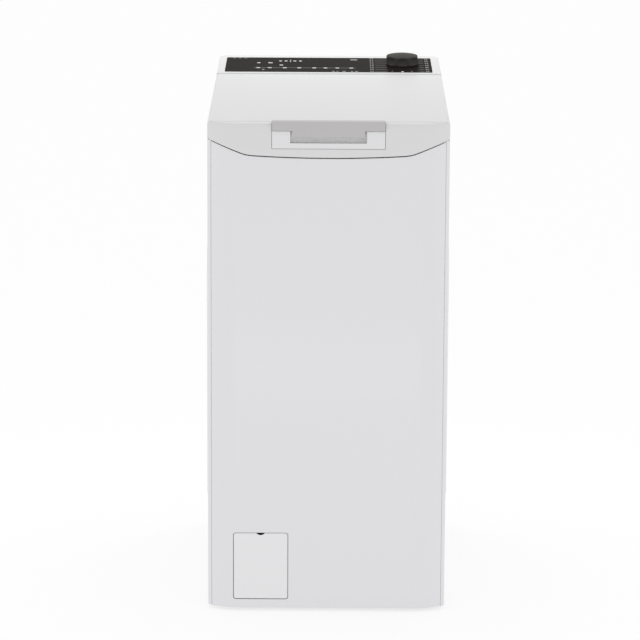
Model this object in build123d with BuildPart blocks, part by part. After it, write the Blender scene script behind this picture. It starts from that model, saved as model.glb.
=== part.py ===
"""A slim top-loading washing machine: cabinet, lid with sprung handle, suspended tub, drum with two
doors, belt drive, pump and controls.  Millimetres; +Z up, the front faces -Y, origin on the floor
below the middle of the cabinet."""
from build123d import *
import os
from math import atan2, cos, degrees, hypot, radians, sin, sqrt

os.makedirs("parts", exist_ok=True)

# Driving dimensions of the cabinet
WIDTH = 400.0                 # outside, over the flat of the side panels
DEPTH = 600.0                 # lid front to console back
FOLD_Z = 828.0                # height of the top at its front fold
REAR_Z = 880.0                # height of the top at its back edge
PANEL_Z = 6.0                 # lower edge of the sheet-metal panels
SHEET = 1.0                   # sheet-metal thickness
SHOULDER_R = 84.0             # large plan radius at both ends of the flat front
FLAT_HALF = 145.0             # half width of the flat front
CORNER_R = 5.0                # small plan radius where the shoulder meets the side
SEAM_X = 194.0                # seam between front panel and side panel
PANEL_BACK = 289.0            # back of the side panels
SKIRT = 28.0                  # height of the lid's side skirt
SKIN_GAP = 1.6                # gap below the lid and round the console
LID_WALL = 2.5

# The curved lower edge of the lid, as heights at distances from the middle
SMILE_MID_Z = 772.6
SMILE_ARC_X = 129.0
SMILE_ARC_Z = 776.6
SMILE_KNEE = (140.0, 778.7)
SMILE_END = (201.0, 802.0)

# Lid hinge, handle and latch
HINGE_Y = 121.0
HINGE_DROP = 8.0              # hinge axis below the top surface
HANDLE_HALF = 93.0
HANDLE_AXIS_Y = -279.0
HANDLE_AXIS_Z = 822.5
GRIP_HALF = 63.0              # finger slot
TONGUE_HALF = 59.5
PIN_R = 2.0
RUN = 0.05                    # running clearance on small pins

# Tub, drum and drive
TUB_Z = 400.0                 # height of the drum axis
TUB_R = 250.0                 # inside of the tub
TUB_WALL = 3.0
TUB_HALF = 146.0              # half length of the tub shell
FLANGE_T = 4.0
FLANGE_R = 258.0
THROAT_X = 112.0              # inside half width of the loading throat
THROAT_Y = 140.0
THROAT_TOP = 705.0
DRUM_R = 230.0
DRUM_HALF = 130.0
DRUM_SHEET = 1.0
DOOR_HALF_X = 98.0
DOOR_HINGE_R = 233.5          # distance of the door hinges from the drum axis
DOOR_HINGE_ANGLE = 26.2       # degrees either side of the top
SHAFT_R = 12.45
BEARING_IN_R = 12.5
BEARING_OUT_R = 26.0
PULLEY_R = 140.0
MOTOR_PULLEY_R = 11.0
MOTOR_Y = 158.0
MOTOR_Z = 110.0
MOTOR_R = 62.0
BELT_X = (172.0, 184.0)

# Cabinet furniture
FLOOR_TOP = 767.0             # floor of the well under the lid
FLOOR_T = 3.0
COLLAR_Z = 745.0
COLLAR_T = 6.0
FLAP_X = (-156.4, -65.0)
FLAP_Z = (21.8, 136.4)
FLAP_T = 2.4
FILTER_X = -110.5
FILTER_Z = 72.0
KNOB_X = 132.0
KNOB_Y = 221.0
FASCIA_X = (-186.0, 184.6)
FASCIA_Y = (142.0, 277.0)
FASCIA_T = 2.0
FOOT_X = 160.0
FOOT_Y = (-240.0, 250.0)
SPRING_AT = (176.0, 125.0)    # x and y of the suspension springs
SPRING_Z = (620.5, 745.0)
DAMPER_AT = (153.0, 60.0)
DAMPER_ROD_R = 5.0

SLOPE = degrees(atan2(REAR_Z - FOLD_Z, DEPTH))


def top_z(y):
    """Height of the sloping top surface at a distance y from the middle."""
    return FOLD_Z + (y + DEPTH / 2) * (REAR_Z - FOLD_Z) / DEPTH


def on_circle(centre, radius, angle):
    """Point on a circle at an angle in degrees."""
    return (centre[0] + radius * cos(radians(angle)), centre[1] + radius * sin(radians(angle)))


def block(xs, ys, zs, mode=Mode.ADD):
    """A box between two values on each axis."""
    with Locations(((xs[0] + xs[1]) / 2, (ys[0] + ys[1]) / 2, (zs[0] + zs[1]) / 2)):
        Box(abs(xs[1] - xs[0]), abs(ys[1] - ys[0]), abs(zs[1] - zs[0]), mode=mode)


def rod_x(y, z, radius, xs, mode=Mode.ADD):
    """A round bar along X."""
    with Locations(((xs[0] + xs[1]) / 2, y, z)):
        Cylinder(radius, abs(xs[1] - xs[0]), rotation=(0, 90, 0), mode=mode)


def rod_y(x, z, radius, ys, mode=Mode.ADD):
    """A round bar along Y."""
    with Locations((x, (ys[0] + ys[1]) / 2, z)):
        Cylinder(radius, abs(ys[1] - ys[0]), rotation=(90, 0, 0), mode=mode)


def rod_z(x, y, radius, zs, mode=Mode.ADD):
    """A round bar along Z."""
    with Locations((x, y, (zs[0] + zs[1]) / 2)):
        Cylinder(radius, abs(zs[1] - zs[0]), mode=mode)


def plan_face(inset, back):
    """Plan of the machine, `inset` inside its skin: flat front, wide shoulders, tight corners."""
    shoulder = (FLAT_HALF, -DEPTH / 2 + SHOULDER_R)
    corner_x = WIDTH / 2 - CORNER_R
    reach = SHOULDER_R - CORNER_R
    corner = (corner_x, shoulder[1] - sqrt(reach**2 - (corner_x - FLAT_HALF) ** 2))
    turn = degrees(atan2(corner[1] - shoulder[1], corner[0] - shoulder[0]))
    front = (FLAT_HALF, -DEPTH / 2 + inset)
    shoulder_mid = on_circle(shoulder, SHOULDER_R - inset, (turn - 90) / 2)
    shoulder_end = on_circle(shoulder, SHOULDER_R - inset, turn)
    corner_mid = on_circle(corner, CORNER_R - inset, turn / 2)
    side = (WIDTH / 2 - inset, corner[1])
    with BuildSketch() as plan:
        with BuildLine():
            Line((0, front[1]), front)
            ThreePointArc(front, shoulder_mid, shoulder_end)
            ThreePointArc(shoulder_end, corner_mid, side)
            Line(side, (side[0], back))
            Line((side[0], back), (0, back))
            mirror(about=Plane.YZ)
        make_face()
    return plan.sketch


def smile_face(lift, low, high=None):
    """Front view of everything below the lid's curved edge (or above it, when high is given)."""
    knee = (SMILE_KNEE[0], SMILE_KNEE[1] + lift)
    end = (SMILE_END[0], SMILE_END[1] + lift)
    arc_end = (SMILE_ARC_X, SMILE_ARC_Z + lift)
    far = low if high is None else high
    with BuildSketch(Plane.XZ) as face:
        with BuildLine():
            ThreePointArc((-arc_end[0], arc_end[1]), (0, SMILE_MID_Z + lift), arc_end)
            Line(arc_end, knee)
            Line(knee, end)
            Line(end, (end[0], far))
            Line((end[0], far), (-end[0], far))
            Line((-end[0], far), (-end[0], end[1]))
            Line((-end[0], end[1]), (-knee[0], knee[1]))
            Line((-knee[0], knee[1]), (-arc_end[0], arc_end[1]))
        make_face()
    return face.sketch


def slope_face(drop_low, drop_high, ys):
    """Side view of the slab between two depths below the top surface."""
    with BuildSketch(Plane.YZ) as face:
        with BuildLine():
            Polyline(
                (ys[0], top_z(ys[0]) - drop_low),
                (ys[1], top_z(ys[1]) - drop_low),
                (ys[1], top_z(ys[1]) - drop_high),
                (ys[0], top_z(ys[0]) - drop_high),
                close=True,
            )
        make_face()
    return face.sketch


def top_plane(x, y, lift=0.0):
    """Plane lying on the sloping top at (x, y), raised by lift along its normal."""
    normal = (0, -sin(radians(SLOPE)), cos(radians(SLOPE)))
    plane = Plane(origin=(x, y, top_z(y)), x_dir=(1, 0, 0), z_dir=normal)
    return plane.offset(lift)


def save(builder, name):
    """Label a finished piece and write it to its own file."""
    builder.part.label = name
    export_step(builder.part, f"parts/{name}.step")


BIG = WIDTH + DEPTH           # reach of a cutting body that passes the whole machine
OUTER_PLAN = plan_face(0, PANEL_BACK)
INNER_PLAN = plan_face(SHEET, PANEL_BACK)
HINGE_Z = top_z(HINGE_Y) - HINGE_DROP


# Base tray: folded sheet floor with an upturned rim and a threaded boss over each foot
def make_base_tray():
    half_x = SEAM_X - SHEET - 0.7
    front, back = -278.0, PANEL_BACK - SHEET - 0.5
    floor, rim = (10.0, 12.0), 34.0
    with BuildPart() as tray:
        block((-half_x, half_x), (front, back), (floor[0], rim))
        block((-half_x + 2, half_x - 2), (front + 2, back - 2), (floor[1], rim + 1), Mode.SUBTRACT)
        for x in (-FOOT_X, FOOT_X):
            for y in FOOT_Y:
                rod_z(x, y, 13, (floor[0], 32))
                rod_z(x, y, 5 + RUN, (floor[0] - 1, 33), Mode.SUBTRACT)
        for x in (-90.0, 90.0):
            block((x - 6, x + 6), (-200, 200), (floor[1], 16))
        block((FLAP_X[0] - 7, FLAP_X[1] + 7), (front - 1, front + 18), (floor[1] + 1, rim + 1), Mode.SUBTRACT)
    save(tray, "base_tray")


# Front panel: bright-painted sheet with wide shoulders, side returns, a curved top edge and a flap hole
def make_front_panel():
    hole_gap = 0.7
    lip_depth = 9.0
    with BuildPart() as lip:
        extrude(smile_face(-SKIN_GAP, PANEL_Z), amount=BIG, both=True)
        extrude(smile_face(-SKIN_GAP - SHEET, PANEL_Z), amount=BIG, both=True, mode=Mode.SUBTRACT)
        with BuildSketch(Plane.XY.offset(PANEL_Z)) as inside:
            add(INNER_PLAN)
        extrude(inside.sketch, amount=FOLD_Z, mode=Mode.INTERSECT)
        block((-SEAM_X, SEAM_X), (-DEPTH, -DEPTH / 2 + lip_depth), (0, FOLD_Z), Mode.INTERSECT)
    with BuildPart() as panel:
        with BuildSketch(Plane.XY.offset(PANEL_Z)):
            add(OUTER_PLAN)
            add(INNER_PLAN, mode=Mode.SUBTRACT)
        extrude(amount=FOLD_Z)
        block((-SEAM_X, SEAM_X), (-DEPTH, 0), (0, 2 * FOLD_Z), Mode.INTERSECT)
        for side in (-1, 1):
            block((side * (SEAM_X - SHEET), side * SEAM_X), (-283.4, -262), (PANEL_Z + 4, 760))
        extrude(smile_face(-SKIN_GAP, 0, 3 * FOLD_Z), amount=BIG, both=True, mode=Mode.SUBTRACT)
        block((-170, 170), (-DEPTH / 2 + SHEET, -DEPTH / 2 + 12), (PANEL_Z, PANEL_Z + SHEET))
        add(lip.part)
        with BuildSketch(Plane.XZ.offset(DEPTH / 2 + 5)):
            with Locations(((FLAP_X[0] + FLAP_X[1]) / 2, (FLAP_Z[0] + FLAP_Z[1]) / 2)):
                RectangleRounded(
                    FLAP_X[1] - FLAP_X[0] + 2 * hole_gap, FLAP_Z[1] - FLAP_Z[0] + 2 * hole_gap, 4.5
                )
        extrude(amount=-8, mode=Mode.SUBTRACT)
    save(panel, "front_panel")


# Side panels: sheet wrapped round the front corner, folded in at the back, with a raised field
def make_side_panel(side, name):
    field_z, field_y, field_rise = (180.0, 690.0), (-238.0, 252.0), 3.5
    skin = WIDTH / 2
    with BuildPart() as panel:
        with BuildSketch(Plane.XY.offset(PANEL_Z)):
            add(OUTER_PLAN)
            add(INNER_PLAN, mode=Mode.SUBTRACT)
        extrude(amount=REAR_Z)
        block((side * (SEAM_X + 0.8), side * BIG), (-DEPTH, PANEL_BACK), (0, 2 * REAR_Z), Mode.INTERSECT)
        block((side * 180, side * (skin - SHEET)), (PANEL_BACK - SHEET, PANEL_BACK), (12, REAR_Z))
        block((side * (SEAM_X + 0.8), side * (SEAM_X + 0.8 + SHEET)), (-283.2, -262), (PANEL_Z + 4, 760))
        extrude(slope_face(SKIRT + SKIN_GAP, -BIG, (-DEPTH, DEPTH)), amount=BIG, both=True, mode=Mode.SUBTRACT)
        with BuildPart(mode=Mode.PRIVATE) as front_trim:
            extrude(smile_face(-SKIN_GAP, 0, 3 * FOLD_Z), amount=BIG, both=True)
            block((-BIG, BIG), (-DEPTH, -270), (0, 3 * FOLD_Z), Mode.INTERSECT)
        add(front_trim.part, mode=Mode.SUBTRACT)
        for x, z in SCREW_AT:
            rod_y(x, z, 2.1, (PANEL_BACK - 2, PANEL_BACK + 1), Mode.SUBTRACT)
        for inset, mode in ((0.0, Mode.ADD), (SHEET, Mode.SUBTRACT)):
            base = side * (skin - inset - 0.01)
            crest = side * (skin + field_rise - inset)
            with BuildSketch(Plane.XZ.offset(-field_y[1] + inset)) as field:
                with BuildLine():
                    Polyline(
                        (base, field_z[0] + inset),
                        (crest, field_z[0] + inset + 3),
                        (crest, field_z[1] - inset - 60),
                        (base, field_z[1] - inset),
                        close=True,
                    )
                make_face()
            extrude(field.sketch, amount=field_y[1] - field_y[0] - 2 * inset, mode=mode)
    save(panel, name)


# Rear panel: ribbed sheet screwed over the folded backs of the side panels
def make_rear_panel():
    half, low, high = 195.0, 12.0, 842.0
    with BuildPart() as panel:
        block((-half, half), (PANEL_BACK, PANEL_BACK + SHEET), (low, high))
        for z in (260.0, 400.0, 540.0):
            block((-150, 150), (PANEL_BACK + SHEET, PANEL_BACK + SHEET + 1.5), (z - 12, z + 12))
            block((-148.5, 148.5), (PANEL_BACK - 1, PANEL_BACK + 1.5), (z - 10.5, z + 10.5), Mode.SUBTRACT)
        rod_y(INLET[0], INLET[1], INLET_R + 1.5, (PANEL_BACK - 1, PANEL_BACK + 4), Mode.SUBTRACT)
        rod_y(DRAIN[0], DRAIN[1], DRAIN_R + 1.5, (PANEL_BACK - 1, PANEL_BACK + 4), Mode.SUBTRACT)
        rod_y(GLAND[0], GLAND[1], GLAND_R + 0.3, (PANEL_BACK - 1, PANEL_BACK + 4), Mode.SUBTRACT)
        for x, z in SCREW_AT:
            rod_y(x, z, 2.1, (PANEL_BACK - 1, PANEL_BACK + 2), Mode.SUBTRACT)
    save(panel, "rear_panel")


def make_cabinet_screws():
    """Eight self-tapping screws that hold the rear panel."""
    with BuildPart() as screws:
        for x, z in SCREW_AT:
            rod_y(x, z, 4.2, (PANEL_BACK + SHEET, PANEL_BACK + SHEET + 2.4))
            rod_y(x, z, 2.0, (PANEL_BACK - 8, PANEL_BACK + SHEET))
            block((x - 3, x + 3), (PANEL_BACK + SHEET + 1.4, PANEL_BACK + 6), (z - 0.5, z + 0.5), Mode.SUBTRACT)
            block((x - 0.5, x + 0.5), (PANEL_BACK + SHEET + 1.4, PANEL_BACK + 6), (z - 3, z + 3), Mode.SUBTRACT)
    save(screws, "cabinet_screws")


INLET, INLET_R = (120.0, 780.0), 13.2
DRAIN, DRAIN_R = (-150.0, 150.0), 10.0
GLAND, GLAND_R = (150.0, 150.0), 8.0
SCREW_AT = [(side * 187.5, z) for side in (-1, 1) for z in (40.0, 300.0, 560.0, 815.0)]


# Top frame: moulded well under the lid, with the loading mouth, its collar and the hinge ears
def make_top_frame():
    half = WIDTH / 2 - SHEET - 1.0
    wall = 2.5
    shelf_z = 836.0
    with BuildPart() as frame:
        with BuildSketch(Plane.XY.offset(FLOOR_TOP - FLOOR_T)):
            add(plan_face(SHEET + 3.5, 153))
        extrude(amount=REAR_Z - FLOOR_TOP)
        with BuildSketch(Plane.XY.offset(FLOOR_TOP)) as well:
            add(plan_face(SHEET + 3.5 - 0.001, 150))
            Rectangle(2 * (half - wall), 3 * DEPTH, mode=Mode.INTERSECT)
        extrude(well.sketch, amount=REAR_Z, mode=Mode.SUBTRACT)
        extrude(slope_face(SKIRT + 2, -BIG, (-DEPTH, DEPTH)), amount=BIG, both=True, mode=Mode.SUBTRACT)
        block((-half, half), (147, 160), (shelf_z, 2 * REAR_Z), Mode.SUBTRACT)
        block((-186, 186), (104, 153), (shelf_z - 2.5, shelf_z))
        block((-THROAT_X - COLLAR_T, THROAT_X + COLLAR_T), (-THROAT_Y - COLLAR_T, THROAT_Y + COLLAR_T),
              (COLLAR_Z, FLOOR_TOP + 4))
        block((-THROAT_X, THROAT_X), (-THROAT_Y, THROAT_Y), (COLLAR_Z - 1, FLOOR_TOP + 5), Mode.SUBTRACT)
        for side in (-1, 1):
            xs = (side * 160.5, side * 171.5)
            block(xs, (HINGE_Y - 3.4, HINGE_Y + 1.4), (shelf_z, HINGE_Z))
            rod_x(HINGE_Y, HINGE_Z, 5.0, xs)
            rod_x(HINGE_Y, HINGE_Z, 2.5, (side * 159, side * 173), Mode.SUBTRACT)
            for y in (-SPRING_AT[1], SPRING_AT[1]):
                rod_z(side * SPRING_AT[0], y, 14, (SPRING_Z[1], FLOOR_TOP - FLOOR_T))
        block((-20, 20), (-262, -250), (FLOOR_TOP - FLOOR_T - 1, FLOOR_TOP + 1), Mode.SUBTRACT)
    save(frame, "top_frame")


# Console: moulded housing behind the lid, its sloping deck recessed for the fascia
def make_console_housing():
    wall, rear_r = 3.0, 15.0
    front, back = HINGE_Y + HINGE_DROP + SKIN_GAP, DEPTH / 2
    mid, length = (front + back) / 2, back - front
    with BuildPart() as console:
        with BuildSketch(Plane.XY.offset(780)):
            with Locations((0, mid)):
                Rectangle(WIDTH, length)
        extrude(amount=200)
        fillet(console.edges().filter_by(Axis.Z).group_by(Axis.Y)[-1], rear_r)
        extrude(slope_face(0, -BIG, (-DEPTH, DEPTH)), amount=BIG, both=True, mode=Mode.SUBTRACT)
        extrude(slope_face(BIG, SKIRT, (-DEPTH, DEPTH)), amount=BIG, both=True, mode=Mode.SUBTRACT)
        fillet(console.faces().sort_by(Axis.Z)[-1].edges(), 2.5)
        with BuildSketch(Plane.XY.offset(780)) as inside:
            with Locations((0, mid)):
                RectangleRounded(WIDTH - 2 * wall, length - 2 * wall, rear_r - wall)
        with BuildPart(mode=Mode.PRIVATE) as cavity:
            extrude(inside.sketch, amount=200)
            extrude(slope_face(wall + FASCIA_T, -BIG, (-DEPTH, DEPTH)), amount=BIG, both=True,
                    mode=Mode.SUBTRACT)
        add(cavity.part, mode=Mode.SUBTRACT)
        fascia_mid = ((FASCIA_X[0] + FASCIA_X[1]) / 2, (FASCIA_Y[0] + FASCIA_Y[1]) / 2)
        with BuildSketch(top_plane(*fascia_mid, -FASCIA_T)) as recess:
            RectangleRounded(FASCIA_X[1] - FASCIA_X[0] + 0.4, FASCIA_Y[1] - FASCIA_Y[0] + 0.4, 3)
        extrude(recess.sketch, amount=10, mode=Mode.SUBTRACT)
        with BuildSketch(top_plane(KNOB_X, KNOB_Y, -12)) as hole:
            Circle(9)
        extrude(hole.sketch, amount=20, mode=Mode.SUBTRACT)
    save(console, "console_housing")


def make_control_fascia():
    """Gloss black panel that fills the recess, with a hole for the knob's spindle."""
    fascia_mid = ((FASCIA_X[0] + FASCIA_X[1]) / 2, (FASCIA_Y[0] + FASCIA_Y[1]) / 2)
    with BuildPart() as fascia:
        with BuildSketch(top_plane(*fascia_mid, -FASCIA_T)) as panel:
            RectangleRounded(FASCIA_X[1] - FASCIA_X[0], FASCIA_Y[1] - FASCIA_Y[0], 2.8)
        extrude(panel.sketch, amount=FASCIA_T + 0.2)
        with BuildSketch(top_plane(KNOB_X, KNOB_Y, -5)) as hole:
            Circle(6)
        extrude(hole.sketch, amount=20, mode=Mode.SUBTRACT)
    save(fascia, "control_fascia")


def make_control_board():
    """Printed board with the display module, held under the fascia."""
    with BuildPart() as board:
        with BuildSketch(top_plane(-40, 210, -14)) as card:
            Rectangle(250, 90)
        extrude(card.sketch, amount=1.6)
        with BuildSketch(top_plane(-90, 215, -12.4)) as parts:
            with GridLocations(70, 30, 3, 2):
                Rectangle(40, 16)
        extrude(parts.sketch, amount=5)
    save(board, "control_board")


def make_encoder_body():
    """Rotary switch under the knob."""
    with BuildPart() as encoder:
        with BuildSketch(top_plane(KNOB_X, KNOB_Y, -22)) as case:
            RectangleRounded(26, 26, 2)
        extrude(case.sketch, amount=12)
        with BuildSketch(top_plane(KNOB_X, KNOB_Y, -11)) as neck:
            Circle(5)
        extrude(neck.sketch, amount=9)
        with BuildSketch(top_plane(KNOB_X, KNOB_Y, -20)) as bore:
            Circle(3 + RUN)
        extrude(bore.sketch, amount=30, mode=Mode.SUBTRACT)
    save(encoder, "encoder_body")


def make_program_knob():
    """Programme knob: scalloped skirt, domed cap and its spindle."""
    skirt_r, height, scallops = 31.0, 19.0, 12
    with BuildPart() as knob:
        with BuildSketch(top_plane(KNOB_X, KNOB_Y, 0.6)) as skirt:
            Circle(skirt_r)
            with PolarLocations(skirt_r + 8.0, scallops):
                Circle(10.0, mode=Mode.SUBTRACT)
        extrude(skirt.sketch, amount=height - 3, taper=4)
        with BuildSketch(top_plane(KNOB_X, KNOB_Y, height - 2.4)) as cap:
            Circle(skirt_r - 4)
        extrude(cap.sketch, amount=2.4, taper=35)
        with BuildSketch(top_plane(KNOB_X, KNOB_Y, -18)) as spindle:
            Circle(3)
        extrude(spindle.sketch, amount=22)
    save(knob, "program_knob")


# Lid: outer shell, liner, handle recess, lever handle on its pin, and the detergent dispenser
def make_lid_shell():
    with BuildPart() as lid:
        for inset, drop, mode in ((0.0, 0.0, Mode.ADD), (LID_WALL, LID_WALL, Mode.SUBTRACT)):
            with BuildPart(mode=Mode.PRIVATE) as body:
                with BuildSketch(Plane.XY.offset(760)) as plan:
                    add(plan_face(inset, HINGE_Y))
                extrude(plan.sketch, amount=150)
                extrude(slope_face(drop, -BIG, (-DEPTH, DEPTH)), amount=BIG, both=True, mode=Mode.SUBTRACT)
                top_edges = body.faces().sort_by(Axis.Z)[-1].edges().sort_by(Axis.Y)[:-1]
                fillet(top_edges, 4.5 - inset)
            add(body.part, mode=mode)
        extrude(smile_face(0, 700), amount=BIG, both=True, mode=Mode.SUBTRACT)
        with BuildPart(mode=Mode.PRIVATE) as side_trim:
            extrude(slope_face(BIG, SKIRT, (-281, DEPTH)), amount=BIG, both=True)
        add(side_trim.part, mode=Mode.SUBTRACT)
        with BuildSketch(Plane.YZ.offset(-WIDTH / 2 + 2)) as lip:
            with BuildLine():
                wrap_in, wrap_out, end = HINGE_DROP - LID_WALL, HINGE_DROP, 35.0
                start = 90.0 + SLOPE
                axis = (HINGE_Y, HINGE_Z)
                ThreePointArc(on_circle(axis, wrap_out, start), on_circle(axis, wrap_out, (start + end) / 2),
                              on_circle(axis, wrap_out, end))
                Line(on_circle(axis, wrap_out, end), on_circle(axis, wrap_in, end))
                ThreePointArc(on_circle(axis, wrap_in, end), on_circle(axis, wrap_in, (start + end) / 2),
                              on_circle(axis, wrap_in, start))
                Line(on_circle(axis, wrap_in, start), on_circle(axis, wrap_out, start))
            make_face()
        extrude(lip.sketch, amount=WIDTH - 4)
        for side in (-1, 1):
            for knuckle in (147.0, 173.5):
                rod_x(HINGE_Y, HINGE_Z, 5.6, (side * knuckle, side * (knuckle + 11)))
                rod_x(HINGE_Y, HINGE_Z, 2.5 + RUN, (side * (knuckle - 1), side * (knuckle + 12)), Mode.SUBTRACT)
            xs = (side * (HANDLE_HALF + 1.5), side * (HANDLE_HALF + 4.0))
            block(xs, (HANDLE_AXIS_Y - 6, HANDLE_AXIS_Y + 5), (HANDLE_AXIS_Z - 6, top_z(HANDLE_AXIS_Y) - 2))
            bore_x = (side * (HANDLE_HALF + 1), side * (HANDLE_HALF + 5))
            rod_x(HANDLE_AXIS_Y, HANDLE_AXIS_Z, PIN_R + 0.02, bore_x, Mode.SUBTRACT)
        block((-HANDLE_HALF - 0.6, HANDLE_HALF + 0.6), (-DEPTH, -282), (BEZEL_Z[0] - 0.6, 900), Mode.SUBTRACT)
    save(lid, "lid_shell")


BEZEL_Z = (787.6, 816.4)
SLOT_Z = (796.5, 816.4)
LINER_DROP = 24.0


def make_lid_liner():
    """Inner lid panel, hung below the shell, with the dispenser's rails."""
    front = -283.4
    with BuildPart() as liner:
        with BuildSketch(Plane.XY.offset(760)) as plan:
            add(plan_face(LID_WALL + 0.5, HINGE_Y - 14))
            with Locations((0, 0)):
                Rectangle(WIDTH, -2 * front, mode=Mode.INTERSECT)
        extrude(plan.sketch, amount=150)
        extrude(slope_face(LINER_DROP - 2, -BIG, (-DEPTH, DEPTH)), amount=BIG, both=True, mode=Mode.SUBTRACT)
        extrude(slope_face(BIG, LINER_DROP, (-DEPTH, DEPTH)), amount=BIG, both=True, mode=Mode.SUBTRACT)
        block((-9, 9), (front - 1, -264), (700, 900), Mode.SUBTRACT)
        for side in (-1, 1):
            block((side * 99.6, side * 102), (-158, -12), (808, top_z(-158) - LINER_DROP + 0.5))
            block((side * 95.8, side * 102), (-158, -12), (808, 811.5))
            block((side * 99.6, side * 102), (-85, -12), (810, top_z(-85) - LINER_DROP + 0.5))
    save(liner, "lid_liner")


def make_handle_bezel():
    """Recess moulding round the finger slot."""
    wall, back = 1.5, -284.9
    with BuildPart() as bezel:
        block((-HANDLE_HALF, HANDLE_HALF), (-DEPTH / 2, -DEPTH / 2 + 2.5), BEZEL_Z)
        fillet(bezel.edges().filter_by(Axis.Y).sort_by(Axis.Z)[:2], 1.2)
        block((-GRIP_HALF - wall, GRIP_HALF + wall), (-DEPTH / 2 + 1, back), (SLOT_Z[0] - wall, SLOT_Z[1]))
        block((-GRIP_HALF, GRIP_HALF), (-DEPTH, back - wall), (SLOT_Z[0], 900), Mode.SUBTRACT)
    save(bezel, "handle_bezel")


def make_lid_handle():
    """Lever handle: front bar, top band, finger tongue, pivot bosses and the latch hook."""
    front, band_back, thick = -DEPTH / 2 - 2.0, -281.3, 2.6
    bar_z, boss_r = (817.0, 832.6), 3.5
    with BuildPart() as handle:
        block((-HANDLE_HALF, HANDLE_HALF), (front, front + thick), bar_z)
        block((-HANDLE_HALF, HANDLE_HALF), (front, band_back), (830.0, bar_z[1]))
        fillet(handle.edges().filter_by(Axis.X).group_by(Axis.Z)[-1].sort_by(Axis.Y)[0], 1.6)
        with BuildSketch(Plane.XZ.offset(-front)) as tongue:
            with Locations((0, 812.4)):
                RectangleRounded(2 * TONGUE_HALF, 11.2, 2.0)
        extrude(tongue.sketch, amount=-thick)
        for side in (-1, 1):
            block((side * (HANDLE_HALF - 2.5), side * HANDLE_HALF), (front, -284.4), (820, 831))
        for x in (-80.0, 0.0, 80.0):
            block((x - 4, x + 4), (-290, -284.4), (819, 831))
            block((x - 4, x + 4), (-285.5, HANDLE_AXIS_Y), (HANDLE_AXIS_Z - 3.4, HANDLE_AXIS_Z + 3.2))
            rod_x(HANDLE_AXIS_Y, HANDLE_AXIS_Z, boss_r, (x - 5, x + 5))
        block((-5, 5), (HANDLE_AXIS_Y + 1.5, HANDLE_AXIS_Y + 5.5), (776, HANDLE_AXIS_Z))
        block((-5, 5), (HANDLE_AXIS_Y + 1.5, HANDLE_AXIS_Y + 11), (776, 781))
        for x in (-80.0, 0.0, 80.0):
            rod_x(HANDLE_AXIS_Y, HANDLE_AXIS_Z, PIN_R + RUN, (x - 6, x + 6), Mode.SUBTRACT)
    save(handle, "lid_handle")


def make_handle_pin():
    with BuildPart() as pin:
        rod_x(HANDLE_AXIS_Y, HANDLE_AXIS_Z, PIN_R, (-HANDLE_HALF - 4, HANDLE_HALF + 4))
    save(pin, "handle_pin")


def make_lid_hinge_pins():
    with BuildPart() as pins:
        for side in (-1, 1):
            rod_x(HINGE_Y, HINGE_Z, 2.5, (side * 147, side * 184.5))
    save(pins, "lid_hinge_pins")


def make_dispenser():
    """Detergent box with three pockets that face up when the lid stands open."""
    half, ys, zs, wall = 95.0, (-135.0, -15.0), (784.0, 815.6), 2.0
    pockets = ((-95.0, -35.0), (-35.0, 45.0), (45.0, 95.0))
    with BuildPart() as tray:
        block((-half, half), ys, zs)
        block((-99.2, 99.2), ys, (812.3, zs[1]))
        for left, right in pockets:
            block((left + wall, right - wall), (ys[0] - 1, ys[1] - wall), (zs[0] + wall, zs[1] - wall - 1.5),
                  Mode.SUBTRACT)
            block((left + wall, right - wall), ys, (zs[0] + wall, zs[0] + 9))
            block((left + wall, right - wall), (ys[0] + 30, ys[1] - wall), (zs[0] + wall, zs[0] + 9),
                  Mode.SUBTRACT)
            block((left + wall, right - wall), (ys[0] - 1, ys[0] + 2), (zs[0] + 9, zs[0] + 20), Mode.SUBTRACT)
    save(tray, "dispenser")


def make_door_lock_housing():
    """Interlock case: a slot for the lid's hook and a guide for the locking bolt."""
    with BuildPart() as case:
        block((-30, 30), (-289.5, -256), (FLOOR_TOP + 0.2, 785))
        block((-9, 9), (-288.4, -267.6), (770, 790), Mode.SUBTRACT)
        block((-9, 9), (-288.4, -264), (770, 781.8), Mode.SUBTRACT)
        block((6.2, 31), (-283.8, -278.7), (776.7, 781.3), Mode.SUBTRACT)
    save(case, "door_lock_housing")


def make_lock_bolt():
    with BuildPart() as bolt:
        block((7, 29), (-283.5, -279), (777, 781))
        chamfer(bolt.edges().filter_by(Axis.Z).sort_by(Axis.X)[:2], 0.8)
    save(bolt, "lock_bolt")


SUMP_X, SUMP_Y = (-70.0, 10.0), (-130.0, -70.0)
SPIGOT = (-30.0, -100.0)
SUMP_HOSE_Z = (100.2, 121.8)


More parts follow.
